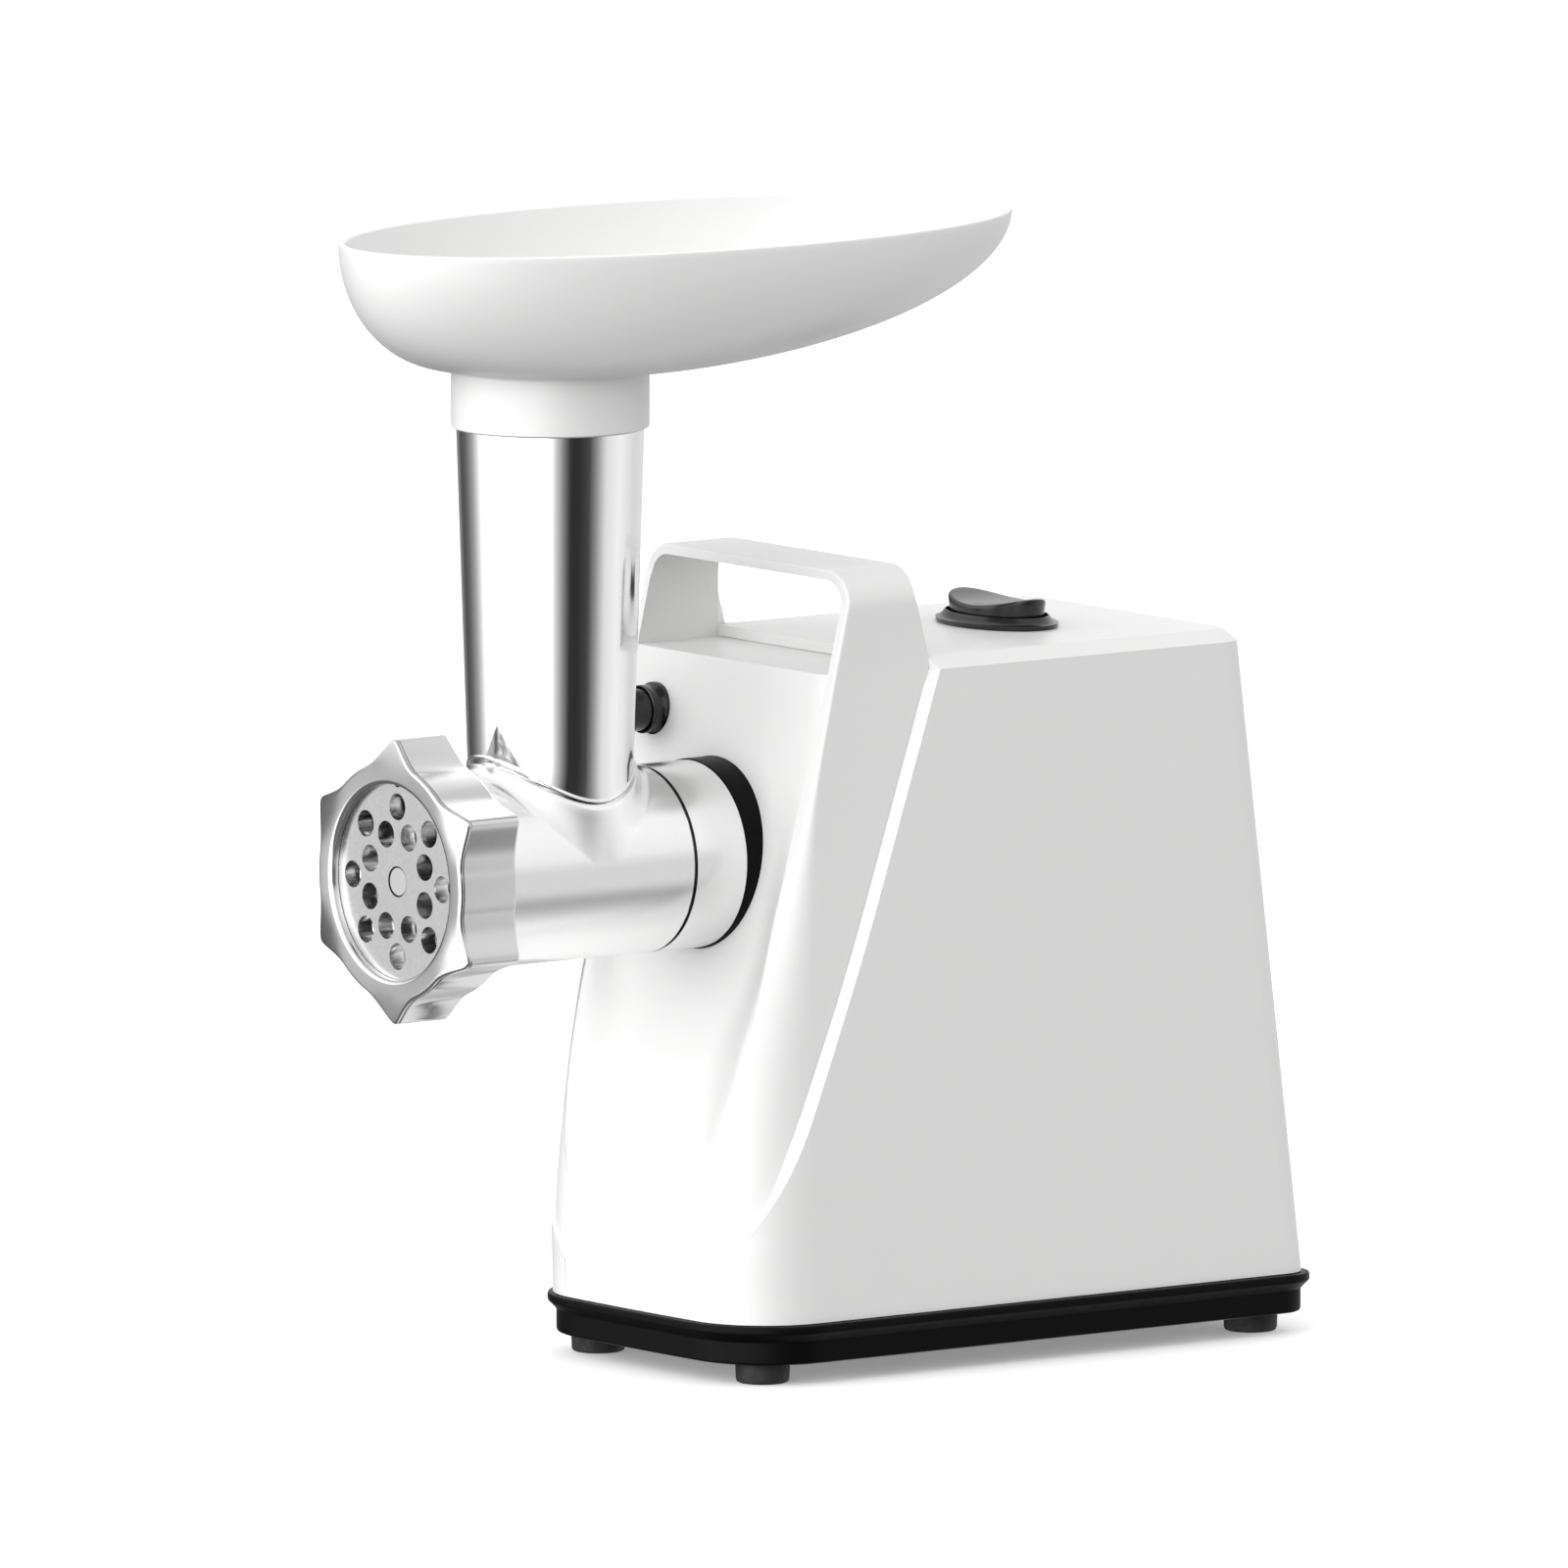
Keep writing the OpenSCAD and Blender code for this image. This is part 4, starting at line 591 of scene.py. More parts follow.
def rear_housing():
    """Shell that is open to the front, with a top sheet whose tongue runs forward to the front panel."""
    levels = steps(BASE_TOP + BASE_GAP, SHOULDER_Z, 34)
    outer = [rear_row(z, 0, None, z) for z in levels]
    outer.append(rear_row(BODY_TOP, BEVEL_W, TOP_STEP_Y, BODY_TOP))
    inner = [rear_row(z, WALL, None, min(z, SHOULDER_Z - INNER_SHOULDER)) for z in levels]
    inner.append(rear_row(BODY_TOP, BEVEL_W + INNER_BEVEL, TOP_STEP_Y, BODY_TOP - WALL))
    columns = len(outer[0])
    size = len(outer) * columns
    last = size - columns
    points, faces = shell(outer, inner)
    faces = [f for f in faces if not top_rim(f, last, columns, size)]
    tongue = [(-TONGUE_HALF, TOP_STEP_Y), (-TONGUE_HALF, TONGUE_Y),
              (TONGUE_HALF, TONGUE_Y), (TONGUE_HALF, TOP_STEP_Y)]
    first = len(points)
    points += [(x, y, z) for z in (BODY_TOP, BODY_TOP - WALL) for x, y in tongue]
    sheets = []
    for start, extra in ((last, first), (size + last, first + len(tongue))):
        sheets.append(list(range(start, start + columns)) + list(range(extra, extra + len(tongue))))
    faces += [tuple(sheet) for sheet in sheets]
    upper, lower = [sheet[columns - 1:] + sheet[:1] for sheet in sheets]
    for i in range(len(tongue) + 1):
        faces.append((upper[i], upper[i + 1], lower[i + 1], lower[i]))
    return points, faces


# Frame: carrying strap, its legs and the lower front
STRAP_REAR_Y = 152.9
STRAP_FOOT_Y = 157.9
STRAP_INNER_Y = 153
TUCK_END_ZS = (200, 207)
FOOT_RISES = (0, 0.15, 0.4, 0.8, 1.4, 2.2, 3.2, 4.5, 6, 8, 10.5)


def frame_rear(z):
    """Depth of the frame's rear edge."""
    if z <= BODY_TOP:
        return min(seam_depth(z) + SEAM_TUCK * (1 - ease(*TUCK_END_ZS, z)), STRAP_FOOT_Y)
    return mix(STRAP_FOOT_Y, STRAP_REAR_Y, min((z - BODY_TOP) / (STRAP_NECK_Z - BODY_TOP), 1))


def frame_section(z):
    """Outer and inner rows of (x, depth) across the frame, from the recess to the seam."""
    form = frame_outline(z)
    inside = form.half - STRAP_T
    x_in = recess_half(z) if z <= PANEL_TOP else inside
    first = form.along_at_x(min(x_in, inside))
    last = max(form.along_at_depth(frame_rear(z)), first + 1)
    knots = (first, min(max(-form.arc, first), last), min(max(0, first), last), last)
    counts = (8, 10, 10)
    outer = []
    for (low, high), count in zip(zip(knots, knots[1:]), counts):
        outer += [form.point(v)[0] for v in steps(low, high, count)[:-1]]
    end, normal = form.point(last)
    outer.append(end)
    start = outer[0]
    depth_in = start[1] + WALL
    if z <= PANEL_TOP:
        depth_in = max(depth_in, panel_face(z, start[0]) + 1)
    head = (start[0], depth_in)
    tail = (end[0] - normal[0] * STRAP_T, end[1] - normal[1] * STRAP_T)
    if last > 0:
        knee = (inside, min(max(form.corner_y, depth_in), end[1] - 0.5))
        tail = (inside, min(end[1], STRAP_INNER_Y) if z > PANEL_TOP else end[1])
    else:
        knee = tail
    bend = counts[0] + counts[1]
    inner = [(mix(head[0], knee[0], i / bend), mix(head[1], knee[1], i / bend)) for i in range(bend)]
    inner += [(mix(knee[0], tail[0], s), mix(knee[1], tail[1], s)) for s in steps(0, 1, counts[2])]
    return outer, inner


def strap_frame():
    """Sheet up one leg, over the top and down the other leg, closed in front below the recess."""
    solid_foot = [BASE_TOP + BASE_GAP, 20, 22, 24, 25.5]
    bend_z = STRAP_TOP - STRAP_R
    levels = solid_foot + [RECESS_FOOT + rise for rise in FOOT_RISES] + steps(40, 202, 40)
    levels += [PANEL_TOP, 207, BODY_TOP, 212, 216, 220, bend_z]
    rows = [[], []]
    for z in levels:
        for side, section in enumerate(frame_section(z)):
            rows[side].append([(x, y, z) for x, y in section])
    centre_x = frame_outline(BODY_TOP).half - STRAP_R
    for a in steps(0, HALF_PI, 14)[1:]:
        z = bend_z + STRAP_R * math.sin(a)
        for side, section in enumerate(frame_section(z)):
            bent = [(x - centre_x, y) for x, y in section]
            rows[side].append([(centre_x + r * math.cos(a), y, bend_z + r * math.sin(a)) for r, y in bent])
    for share in steps(1, 0, 6)[1:]:
        for side, section in enumerate(frame_section(STRAP_TOP)):
            rows[side].append([(centre_x * share, y, bend_z + x - centre_x) for x, y in section])
    outer, inner = [side + [[(-x, y, z) for x, y, z in row] for row in reversed(side[:-1])] for side in rows]
    closed = len(solid_foot)
    count = len(outer)
    return shell(outer, inner, lambda i: i < closed or i >= count - 1 - closed)


# Front panel, with a ledge on top that runs back to the rear housing
PANEL_RISES = (0.05, 0.2, 0.6, 1.4, 2.5, 4, 6, 9)
PANEL_COLUMNS = 40
LEDGE_LAP = 0.6


def front_panel():
    """Sheet that rises with the panel's face and turns back into the ledge."""
    outer = []
    inner = []
    for z in [RECESS_FOOT + rise for rise in PANEL_RISES] + steps(40, PANEL_TOP, 48):
        half = recess_half(z) + PANEL_TUCK
        row = [(x, panel_face(z, x)) for x in steps(-half, half, PANEL_COLUMNS)]
        outer.append([(x, y, z) for x, y in row])
        inner.append([(x, y + WALL, min(z, PANEL_TOP - WALL)) for x, y in row])
    ledge_half = RECESS_TOP_HALF + PANEL_TUCK / 4
    xs = steps(-ledge_half, ledge_half, PANEL_COLUMNS)
    front = panel_depth(PANEL_TOP)
    for share in steps(0, 1, 6)[1:]:
        y = mix(front, TONGUE_Y + LEDGE_LAP, share)
        outer.append([(x, y, PANEL_TOP) for x in xs])
        inner.append([(x, max(y, front + WALL + 0.1 * share), PANEL_TOP - WALL) for x in xs])
    return shell(outer, inner)


# Openings in the body for the switch, the socket and the button
BUTTON_LOW, BUTTON_HIGH = measured("button_bezel")
BUTTON_X = (BUTTON_LOW[0] + BUTTON_HIGH[0]) / 2
BUTTON_Z = (BUTTON_LOW[2] + BUTTON_HIGH[2]) / 2
SWITCH_LOW, SWITCH_HIGH = measured("switch_bezel")
SWITCH_Y = (SWITCH_LOW[1] + SWITCH_HIGH[1]) / 2
NECK_X = 21.1
NECK_Y = 13.15
NECK_GAP = 0.3
SOCKET_HOLE_R = 27.8
BUTTON_HOLE_R = 7.6
PANEL_CUT_YS = (100, 140)

body = solid("motor_housing", rear_housing())
cut(body, prism(oval(NECK_X + NECK_GAP, NECK_Y + NECK_GAP, SWITCH_Y, 0, 96), BODY_TOP - 14, BODY_TOP + 6))
round_edges(body, 0.6)
add(body, "housing", "white_plastic", ["rear_housing"])

strap = solid("strap_frame", strap_frame())
round_edges(strap, 0.35)
add(strap, "housing", "white_plastic", ["carry_handle"])

panel = solid("front_panel", front_panel())
cut(panel, loft(revolve_y([(SOCKET_HOLE_R, y) for y in PANEL_CUT_YS], 128, 0, AXIS_Z)),
    loft(revolve_y([(BUTTON_HOLE_R, y) for y in PANEL_CUT_YS], 64, BUTTON_X, BUTTON_Z)))
round_edges(panel, 0.6, 40)
add(panel, "housing", "white_plastic", ["front_housing"])

# Base with a flange, an inset skirt, a floor with vents and screw holes
BASE_LOW, BASE_HIGH = measured("base_plate")
FLANGE_MIDDLE = 85.2
FLANGE_HALF = BASE_HIGH[0]
FLANGE_REAR = BASE_HIGH[1]
FLANGE_FRONT_R = 28.5
FLANGE_REAR_R = 12.4
FLOOR_TOP = 9.3


def base_ring(inset, z):
    """Ring at a height, set in from the flange's outline."""
    form = Outline(FLANGE_MIDDLE + inset, FLANGE_HALF - inset, FLANGE_FRONT_R - inset)
    rear = FLANGE_REAR - inset
    corner = FLANGE_REAR_R - inset
    start = form.along_at_x(0)
    row = [form.point(v)[0] for v in steps(start, -form.arc, 14)[:-1] + steps(-form.arc, 0, 12)[:-1]]
    row += [(form.half, y) for y in steps(form.corner_y, rear - corner, 8)[:-1]]
    row += back_row(form.half, rear, corner, 10)
    return [(x, y, z) for x, y in row] + [(-x, y, z) for x, y in reversed(row[1:-1])]


SKIRT = 2.6
RIM_IN = 5.2
BASE_FOOT = BASE_LOW[2]
BASE_PROFILE = [
    (SKIRT + 1.0, BASE_FOOT), (SKIRT + 0.3, BASE_FOOT + 0.3), (SKIRT, BASE_FOOT + 1), (SKIRT, 12.8),
    (SKIRT - 0.25, 13.3), (0.7, 15.0), (0.15, 15.5), (0, 16), (0, 17.2), (0.25, 17.8), (0.8, BASE_TOP),
    (RIM_IN, BASE_TOP), (RIM_IN, FLOOR_TOP + 0.6), (RIM_IN + 0.6, FLOOR_TOP)]
base = solid("base", loft([base_ring(inset, z) for inset, z in BASE_PROFILE]))

VENT_COUNT = 7
VENT_Y = 193.8
VENT_PITCH = 8
VENT_HALF = 18
VENT_R = 2
for i in range(VENT_COUNT):
    depth = VENT_Y + VENT_PITCH * i
    vent = []
    for sign, first in ((1, -HALF_PI), (-1, HALF_PI)):
        for a in steps(first, first + math.pi, 8):
            vent.append((sign * VENT_HALF + VENT_R * math.cos(a), depth + VENT_R * math.sin(a), 0))
    cut(base, prism(vent, 4, 12))

SCREW_LOW, SCREW_HIGH = measured("base_screws")
SCREW_R = 3.6
SCREW_HOLE = [(4.2, 5), (4.2, 8.0), (2.4, 8.4), (2.4, 20)]
for x in (SCREW_LOW[0] + SCREW_R, SCREW_HIGH[0] - SCREW_R):
    for depth in (SCREW_LOW[1] + SCREW_R, SCREW_HIGH[1] - SCREW_R):
        cut(base, loft(revolve_z(SCREW_HOLE, 40, x, depth)))
add(base, "housing", "black_plastic", ["base_plate"], look="base_black")

# Feet
FOOT_LOW, FOOT_HIGH = measured("feet")
FOOT_R = 8
FOOT_STEM_R = 2.4
FOOT_PROFILE = [
    (2.5, 1.1), (4.4, 1.0), (5.2, 0.2), (5.8, 0), (6.9, 0), (7.5, 0.3), (7.8, 1), (FOOT_R, BASE_FOOT - 0.6),
    (FOOT_R - 0.2, BASE_FOOT - 0.1), (FOOT_R - 0.8, BASE_FOOT), (FOOT_STEM_R, BASE_FOOT),
    (FOOT_STEM_R, FOOT_HIGH[2])]
feet = [loft(revolve_z(FOOT_PROFILE, 64, x, depth))
        for x in (FOOT_LOW[0] + FOOT_R, FOOT_HIGH[0] - FOOT_R)
        for depth in (FOOT_LOW[1] + FOOT_R, FOOT_HIGH[1] - FOOT_R)]
add(solid("rubber_feet", joined(feet)), "housing", "rubber", ["feet"])

# Grinding head: barrel
BARREL_R = 27.35
TUBE_Y = 58
PLATE_Y = measured("cutting_plate")[0][1]
PLATE_T = 5
CUP_Y = measured("barrel")[0][1]
SEAT_Y = PLATE_Y + PLATE_T + 0.2
CUP_R = 32
CUP_IN = 30.06
CUP_END = 19
BARREL_IN = 24.95
BARREL_END = 90.1
BARREL_FLOOR_Y = 88.3
SPOUT_R = 23.5
SPOUT_IN = 12
SPOUT_END = 107.6
BARREL_PROFILE = [
    (CUP_IN + 0.24, CUP_Y), (CUP_R - 0.4, CUP_Y), (CUP_R, CUP_Y + 0.4), (CUP_R, CUP_END - 0.4),
    (CUP_R - 0.4, CUP_END), (28.6, CUP_END), (BARREL_R + 0.4, CUP_END + 0.4), (BARREL_R, CUP_END + 1.4),
    (BARREL_R, BARREL_END - 0.5), (BARREL_R - 0.25, BARREL_END - 0.1), (BARREL_R - 0.75, BARREL_END),
    (SPOUT_R + 0.4, BARREL_END), (SPOUT_R, BARREL_END + 0.4), (SPOUT_R, SPOUT_END - 0.4),
    (SPOUT_R - 0.4, SPOUT_END), (SPOUT_IN + 0.4, SPOUT_END), (SPOUT_IN, SPOUT_END - 0.4),
    (SPOUT_IN, BARREL_FLOOR_Y), (BARREL_IN, BARREL_FLOOR_Y), (BARREL_IN, SEAT_Y + 0.4),
    (BARREL_IN + 0.45, SEAT_Y), (CUP_IN, SEAT_Y), (CUP_IN, CUP_Y + 0.3)]
barrel = solid("barrel_body", loft(revolve_y(BARREL_PROFILE, 160, 0, AXIS_Z), loop=True))

# Boss on the barrel, with a rim on a cylinder about the barrel's axis and a hollow fillet, and the feed tube
BOSS_R = 31.95
BOSS_LIP = 1.3
TUBE_T = 2.2
TUBE_FOOT_R = 24
TUBE_TOP_R = 27.3
TUBE_FOOT_Z = AXIS_Z + BARREL_R
TUBE_COLLAR_Z = 278.5
TUBE_END_Z = 294.4
SPIGOT_STEP = 1.2
THROAT_R = TUBE_FOOT_R - TUBE_T
TUBE_COUNT = 144


def saddle(radius, form_r, rise=0.0):
    """Ring round the tube's axis on a cylinder about the barrel's axis.

    The radius and the rise above the cylinder are numbers or functions of the angle.
    """
    ring = []
    for a in turn(TUBE_COUNT):
        r = radius(a) if callable(radius) else radius
        up = rise(a) if callable(rise) else rise
        x = r * math.cos(a)
        height = math.sqrt(max(form_r * form_r - x * x, 0))
        ring.append((x, TUBE_Y + r * math.sin(a), AXIS_Z + height + up))
    return ring


def barrel_boss():
    wall_r = TUBE_FOOT_R + BOSS_LIP

    def foot_r(a):
        return wall_r + mix(2, 5, math.sin(a) ** 2)

    rings = [
        saddle(THROAT_R - 1, BARREL_R - 0.8), saddle(THROAT_R - 1, BOSS_R), saddle(wall_r - 0.5, BOSS_R),
        saddle(wall_r - 0.15, BOSS_R, -0.15), saddle(wall_r, BOSS_R, -0.5)]
    rim = rings[-1]
    foot = saddle(foot_r, BARREL_R)
    for share in steps(0, 1, 8)[1:]:
        turned = share * HALF_PI
        ring = []
        for a, high, low in zip(turn(TUBE_COUNT), rim, foot):
            hollow = math.sin(a) ** 2
            out = mix(share, 1 - math.cos(turned), hollow)
            down = mix(share, math.sin(turned), hollow)
            ring.append((mix(high[0], low[0], out), mix(high[1], low[1], out), mix(high[2], low[2], down)))
        rings.append(ring)
    rings.append(saddle(lambda a: 0.985 * foot_r(a), BARREL_R, -1.2))
    return loft(rings, loop=True)


combine(barrel, "UNION", barrel_boss())
cut(barrel, prism(oval(THROAT_R, THROAT_R, TUBE_Y, 0, 96), AXIS_Z, AXIS_Z + 40))
add(barrel, "head", "satin_aluminium", ["barrel"])


def tube_r(z):
    return mix(TUBE_FOOT_R, TUBE_TOP_R, (z - TUBE_FOOT_Z) / (TUBE_COLLAR_Z - TUBE_FOOT_Z))


def feed_tube():
    """Cone on the boss, with a groove and a bead at its foot and a spigot for the tray at its top.

    The foot's rings are (distance out, share of the gap to the boss, rise).
    """
    foot = [
        (-TUBE_T, 0, 0.02), (-1, 0, 0.02), (-1, 1, 0.1), (-0.1, 1, 0.15),
        (0.25, 1, 0.4), (0.3, 1, 0.7), (0.15, 1, 1.05), (0, 1, 1.45)]

    def lift(gap, rise):
        return lambda a: gap * (0.2 + 1.1 * max(-math.sin(a), 0) ** 2) + rise

    rings = [saddle(tube_r(AXIS_Z + BOSS_R) + out, BOSS_R, lift(gap, rise)) for out, gap, rise in foot]
    low = [z for _, _, z in rings[-1]]

    def wall(share, inset):
        ring = []
        for a, z_low in zip(turn(TUBE_COUNT), low):
            z = mix(z_low, TUBE_COLLAR_Z - 0.3, share)
            r = tube_r(z) - inset
            ring.append((r * math.cos(a), TUBE_Y + r * math.sin(a), z))
        return ring

    rings += [wall(share, 0) for share in steps(0, 1, 24)[1:]]
    spigot = TUBE_TOP_R - SPIGOT_STEP
    bore = spigot - TUBE_T
    top = [
        (TUBE_TOP_R - 0.3, TUBE_COLLAR_Z), (spigot, TUBE_COLLAR_Z + 0.05), (spigot, TUBE_END_Z - 0.5),
        (spigot - 0.4, TUBE_END_Z), (bore + 0.4, TUBE_END_Z), (bore, TUBE_END_Z - 0.5),
        (bore, TUBE_COLLAR_Z)]
    rings += revolve_z(top, TUBE_COUNT, 0, TUBE_Y)
    rings += [wall(share, mix(TUBE_T, TUBE_T + SPIGOT_STEP, share)) for share in steps(0.97, 0, 8)]
    return loft(rings, loop=True)


add(solid("tube_body", feed_tube()), "head", "polished_steel", ["feed_tube"], 28)

# Ring nut with six points
RING_L = 20.5
RING_VALLEY = 34.8
RING_POINT = 6.7
RING_LIP_T = PLATE_Y - 0.1
POINT_LEAN = 0.22
RING_OPEN = 28.5
RING_BORE = 32.06
POINT_ANGLE = math.radians(19)
POINT_ROUND = math.radians(1.8)


def ring_radius(a):
    """Outer radius of the ring nut at an angle."""
    sector = math.pi / 3
    away = abs((a - HALF_PI + sector / 2) % sector - sector / 2)
    away = math.sqrt(away * away + POINT_ROUND * POINT_ROUND) - POINT_ROUND
    return RING_VALLEY + RING_POINT * max(1 - away / POINT_ANGLE, 0) ** 2


def ring_nut():
    angles = turn(360)

    def points(inset, depth, lean=0.0):
        ring = []
        for a in angles:
            r = ring_radius(a)
            place = depth + lean * (r - RING_VALLEY)
            ring.append(((r - inset) * math.cos(a), place, AXIS_Z + (r - inset) * math.sin(a)))
        return ring

    def circle(r, depth):
        return [(r * math.cos(a), depth, AXIS_Z + r * math.sin(a)) for a in angles]

    edge_r = 0.9
    groove = (edge_r + 0.1, edge_r + 0.8)
    groove_in = 0.5
    rings = [circle(RING_OPEN + 1.5, 0), circle(RING_VALLEY - 1.2, 0)]
    for a in steps(0, HALF_PI, 6):
        rings.append(points(edge_r * (1 - math.sin(a)), edge_r * (1 - math.cos(a)), POINT_LEAN))
    rings += [points(groove_in, depth, POINT_LEAN) for depth in groove]
    rings += [
        points(0, groove[1] + 0.1, POINT_LEAN),
        points(0, RING_L - 1), points(0.3, RING_L - 0.3), points(1, RING_L),
        circle(RING_BORE + 0.6, RING_L), circle(RING_BORE, RING_L - 0.6), circle(RING_BORE, RING_LIP_T),
        circle(RING_OPEN + 0.3, RING_LIP_T), circle(RING_OPEN, RING_LIP_T - 0.3), circle(RING_OPEN, 1.1),
        circle(RING_OPEN + 0.3, 0.5), circle(RING_OPEN + 0.8, 0.15)]
    return loft(rings, loop=True)


add(solid("ring_nut_body", ring_nut()), "ring", "satin_aluminium", ["ring_nut"], 40, "ring_metal")

# Plate: outlets in two rows, a hole for the auger's pin and a notch for the key
PLATE_R = 30
PIN_HOLE_R = 4.5
NOTCH_R = 1.8
NOTCH_OUT = 29.3
OUTLET_R = 3.9
OUTLET_COUNT = 8
OUTLET_ROWS = ((21.8, HALF_PI), (14.4, HALF_PI + math.pi / OUTLET_COUNT))
PLATE_REAR = PLATE_Y + PLATE_T
plate = solid("plate_disc", loft(revolve_y([(PLATE_R, PLATE_Y), (PLATE_R, PLATE_REAR)], 160, 0, AXIS_Z)))
HOLES = [(PIN_HOLE_R, 0, AXIS_Z), (NOTCH_R, 0, AXIS_Z + NOTCH_OUT)]
for i in range(OUTLET_COUNT):
    for r, first in OUTLET_ROWS:
        a = first + 2 * math.pi * i / OUTLET_COUNT
        HOLES.append((OUTLET_R, r * math.cos(a), AXIS_Z + r * math.sin(a)))
for r, x, z in HOLES:
    cut(plate, loft(revolve_y([(r, PLATE_Y - 2), (r, PLATE_REAR + 2)], 48, x, z)))
round_edges(plate, 0.3, 50, 2)
add(plate, "plate", "cutter_steel", ["cutting_plate"])

# Feed tray: an oval bowl with a rolled rim and a collar over the tube
TRAY_LOW, TRAY_HIGH = measured("feed_tray")
TRAY_T = 2.4
TRAY_H = 38
TRAY_RIM = TRAY_HIGH[2]
TRAY_FLOOR = (32.5, 28.4, 92)
TRAY_EDGE = (TRAY_HIGH[0], TRAY_LOW[1], TRAY_HIGH[1])
COLLAR_LOW = TRAY_LOW[2]
COLLAR_H = 17.5
COLLAR_GAP = 0.3
BOWL_STEPS = 28
TRAY_COUNT = 160


def bowl_ring(angle, inset):
    """Ring of the bowl at an angle from its floor to its rim."""
    s = math.sin(angle)
    half, front, rear = [mix(low, high, s) for low, high in zip(TRAY_FLOOR, TRAY_EDGE)]
    z = TRAY_RIM - (TRAY_H - inset) * math.cos(angle)
    return oval(half - inset * s, (rear - front) / 2 - inset * s, (front + rear) / 2, z, TRAY_COUNT)


def collar_ring(out, z):
    """Ring round the tube's spigot."""
    r = TUBE_TOP_R - SPIGOT_STEP + out
    return oval(r, r, TUBE_Y, z, TRAY_COUNT)


def feed_tray():
    floor = COLLAR_LOW + COLLAR_H
    out = COLLAR_GAP + TRAY_T
    rings = [
        collar_ring(out - 0.5, COLLAR_LOW), collar_ring(out - 0.1, COLLAR_LOW + 0.3),
        collar_ring(out, COLLAR_LOW + 0.8), collar_ring(out, floor - 1.4),
        collar_ring(out + 0.3, floor - 0.6), collar_ring(out + 0.9, floor - 0.1)]
    rings += [bowl_ring(HALF_PI * i / BOWL_STEPS, 0) for i in range(BOWL_STEPS)]
    edge_half, edge_front, edge_rear = TRAY_EDGE

    def rim_ring(inset, z):
        half_depth = (edge_rear - edge_front) / 2 - inset
        return oval(edge_half - inset, half_depth, (edge_front + edge_rear) / 2, z, TRAY_COUNT)

    rings += [
        rim_ring(0, TRAY_RIM - 0.8), rim_ring(0.2, TRAY_RIM - 0.25), rim_ring(0.7, TRAY_RIM),
        rim_ring(TRAY_T - 0.7, TRAY_RIM), rim_ring(TRAY_T - 0.15, TRAY_RIM - 0.35)]
    rings += [bowl_ring(HALF_PI * i / BOWL_STEPS, TRAY_T) for i in reversed(range(BOWL_STEPS))]
    hole = -TUBE_T
    hole_top = floor + TRAY_T
    lip = TUBE_END_Z + COLLAR_GAP
    rings += [
        collar_ring(hole + 1.2, hole_top), collar_ring(hole + 0.3, hole_top - 0.4),
        collar_ring(hole, hole_top - 1.2), collar_ring(hole, lip), collar_ring(COLLAR_GAP, lip),
        collar_ring(COLLAR_GAP, COLLAR_LOW + 0.4), collar_ring(COLLAR_GAP + 0.3, COLLAR_LOW)]
    return loft(rings, loop=True)


add(solid("tray_bowl", feed_tray()), "tray", "white_plastic", ["feed_tray"])

# Seal: a black ring round the socket that reaches the leaning panel
SEAL_LOW, SEAL_HIGH = measured("socket_seal")
SEAL_R = SEAL_HIGH[0]
SEAL_IN = SEAL_R - 1.75
SEAL_ROUND = 0.6
SEAL_LAP = 0.6


def seal_ring():
    front = SEAL_LOW[1]
    profile = [
        (SEAL_IN, SEAL_HIGH[1]), (SEAL_IN, front), (SEAL_R - SEAL_ROUND, front),
        (SEAL_R - 0.17, front + 0.17), (SEAL_R, front + SEAL_ROUND)]
    rings = revolve_y(profile, 128, 0, AXIS_Z)
    rings.append([(x, panel_depth(z) + SEAL_LAP, z) for x, _, z in rings[-1]])
    return loft(rings, loop=True)


add(solid("seal_ring", seal_ring()), "housing", "black_plastic", ["socket_seal"], look="base_black")

# Release button in a bezel that flares towards the panel
BEZEL_R = (BUTTON_HIGH[0] - BUTTON_LOW[0]) / 2
BUTTON_R = 6.2
BUTTON_PANEL_Y = panel_depth(BUTTON_Z)
BEZEL_FLARE = [
    (0.25, -4.6), (0.5, -5), (0.85, -4.8), (0.9, -4.2), (0.6, -3.2), (0.5, -2.4), (0.65, -1.7), (1.05, -1.0)]
BEZEL_PROFILE = [(BUTTON_R + out, BUTTON_PANEL_Y + back) for out, back in BEZEL_FLARE]
BEZEL_PROFILE += [
    (BEZEL_R - 0.1, BUTTON_PANEL_Y - 0.6), (BEZEL_R, BUTTON_PANEL_Y - 0.3), (BEZEL_R, BUTTON_PANEL_Y + 1.0),
    (BUTTON_R + 1.2, BUTTON_PANEL_Y + 1.2), (BUTTON_R + 1.2, BUTTON_HIGH[1]),
    (BUTTON_R + 0.25, BUTTON_HIGH[1])]
add(solid("button_collar", loft(revolve_y(BEZEL_PROFILE, 80, BUTTON_X, BUTTON_Z), loop=True)),
    "housing", "black_plastic", ["button_bezel"])
PRESS_LOW, PRESS_HIGH = measured("release_button")
PRESS_FACE = PRESS_LOW[1]
PRESS_PROFILE = [
    (1.0, PRESS_FACE + 0.25), (3.6, PRESS_FACE + 0.15), (5.0, PRESS_FACE), (5.6, PRESS_FACE + 0.15),
    (6.0, PRESS_FACE + 0.6), (BUTTON_R, PRESS_FACE + 1.3), (BUTTON_R, PRESS_HIGH[1])]
add(solid("button_cap", loft(revolve_y(PRESS_PROFILE, 80, BUTTON_X, BUTTON_Z))),
    "release", "black_plastic", ["release_button"])

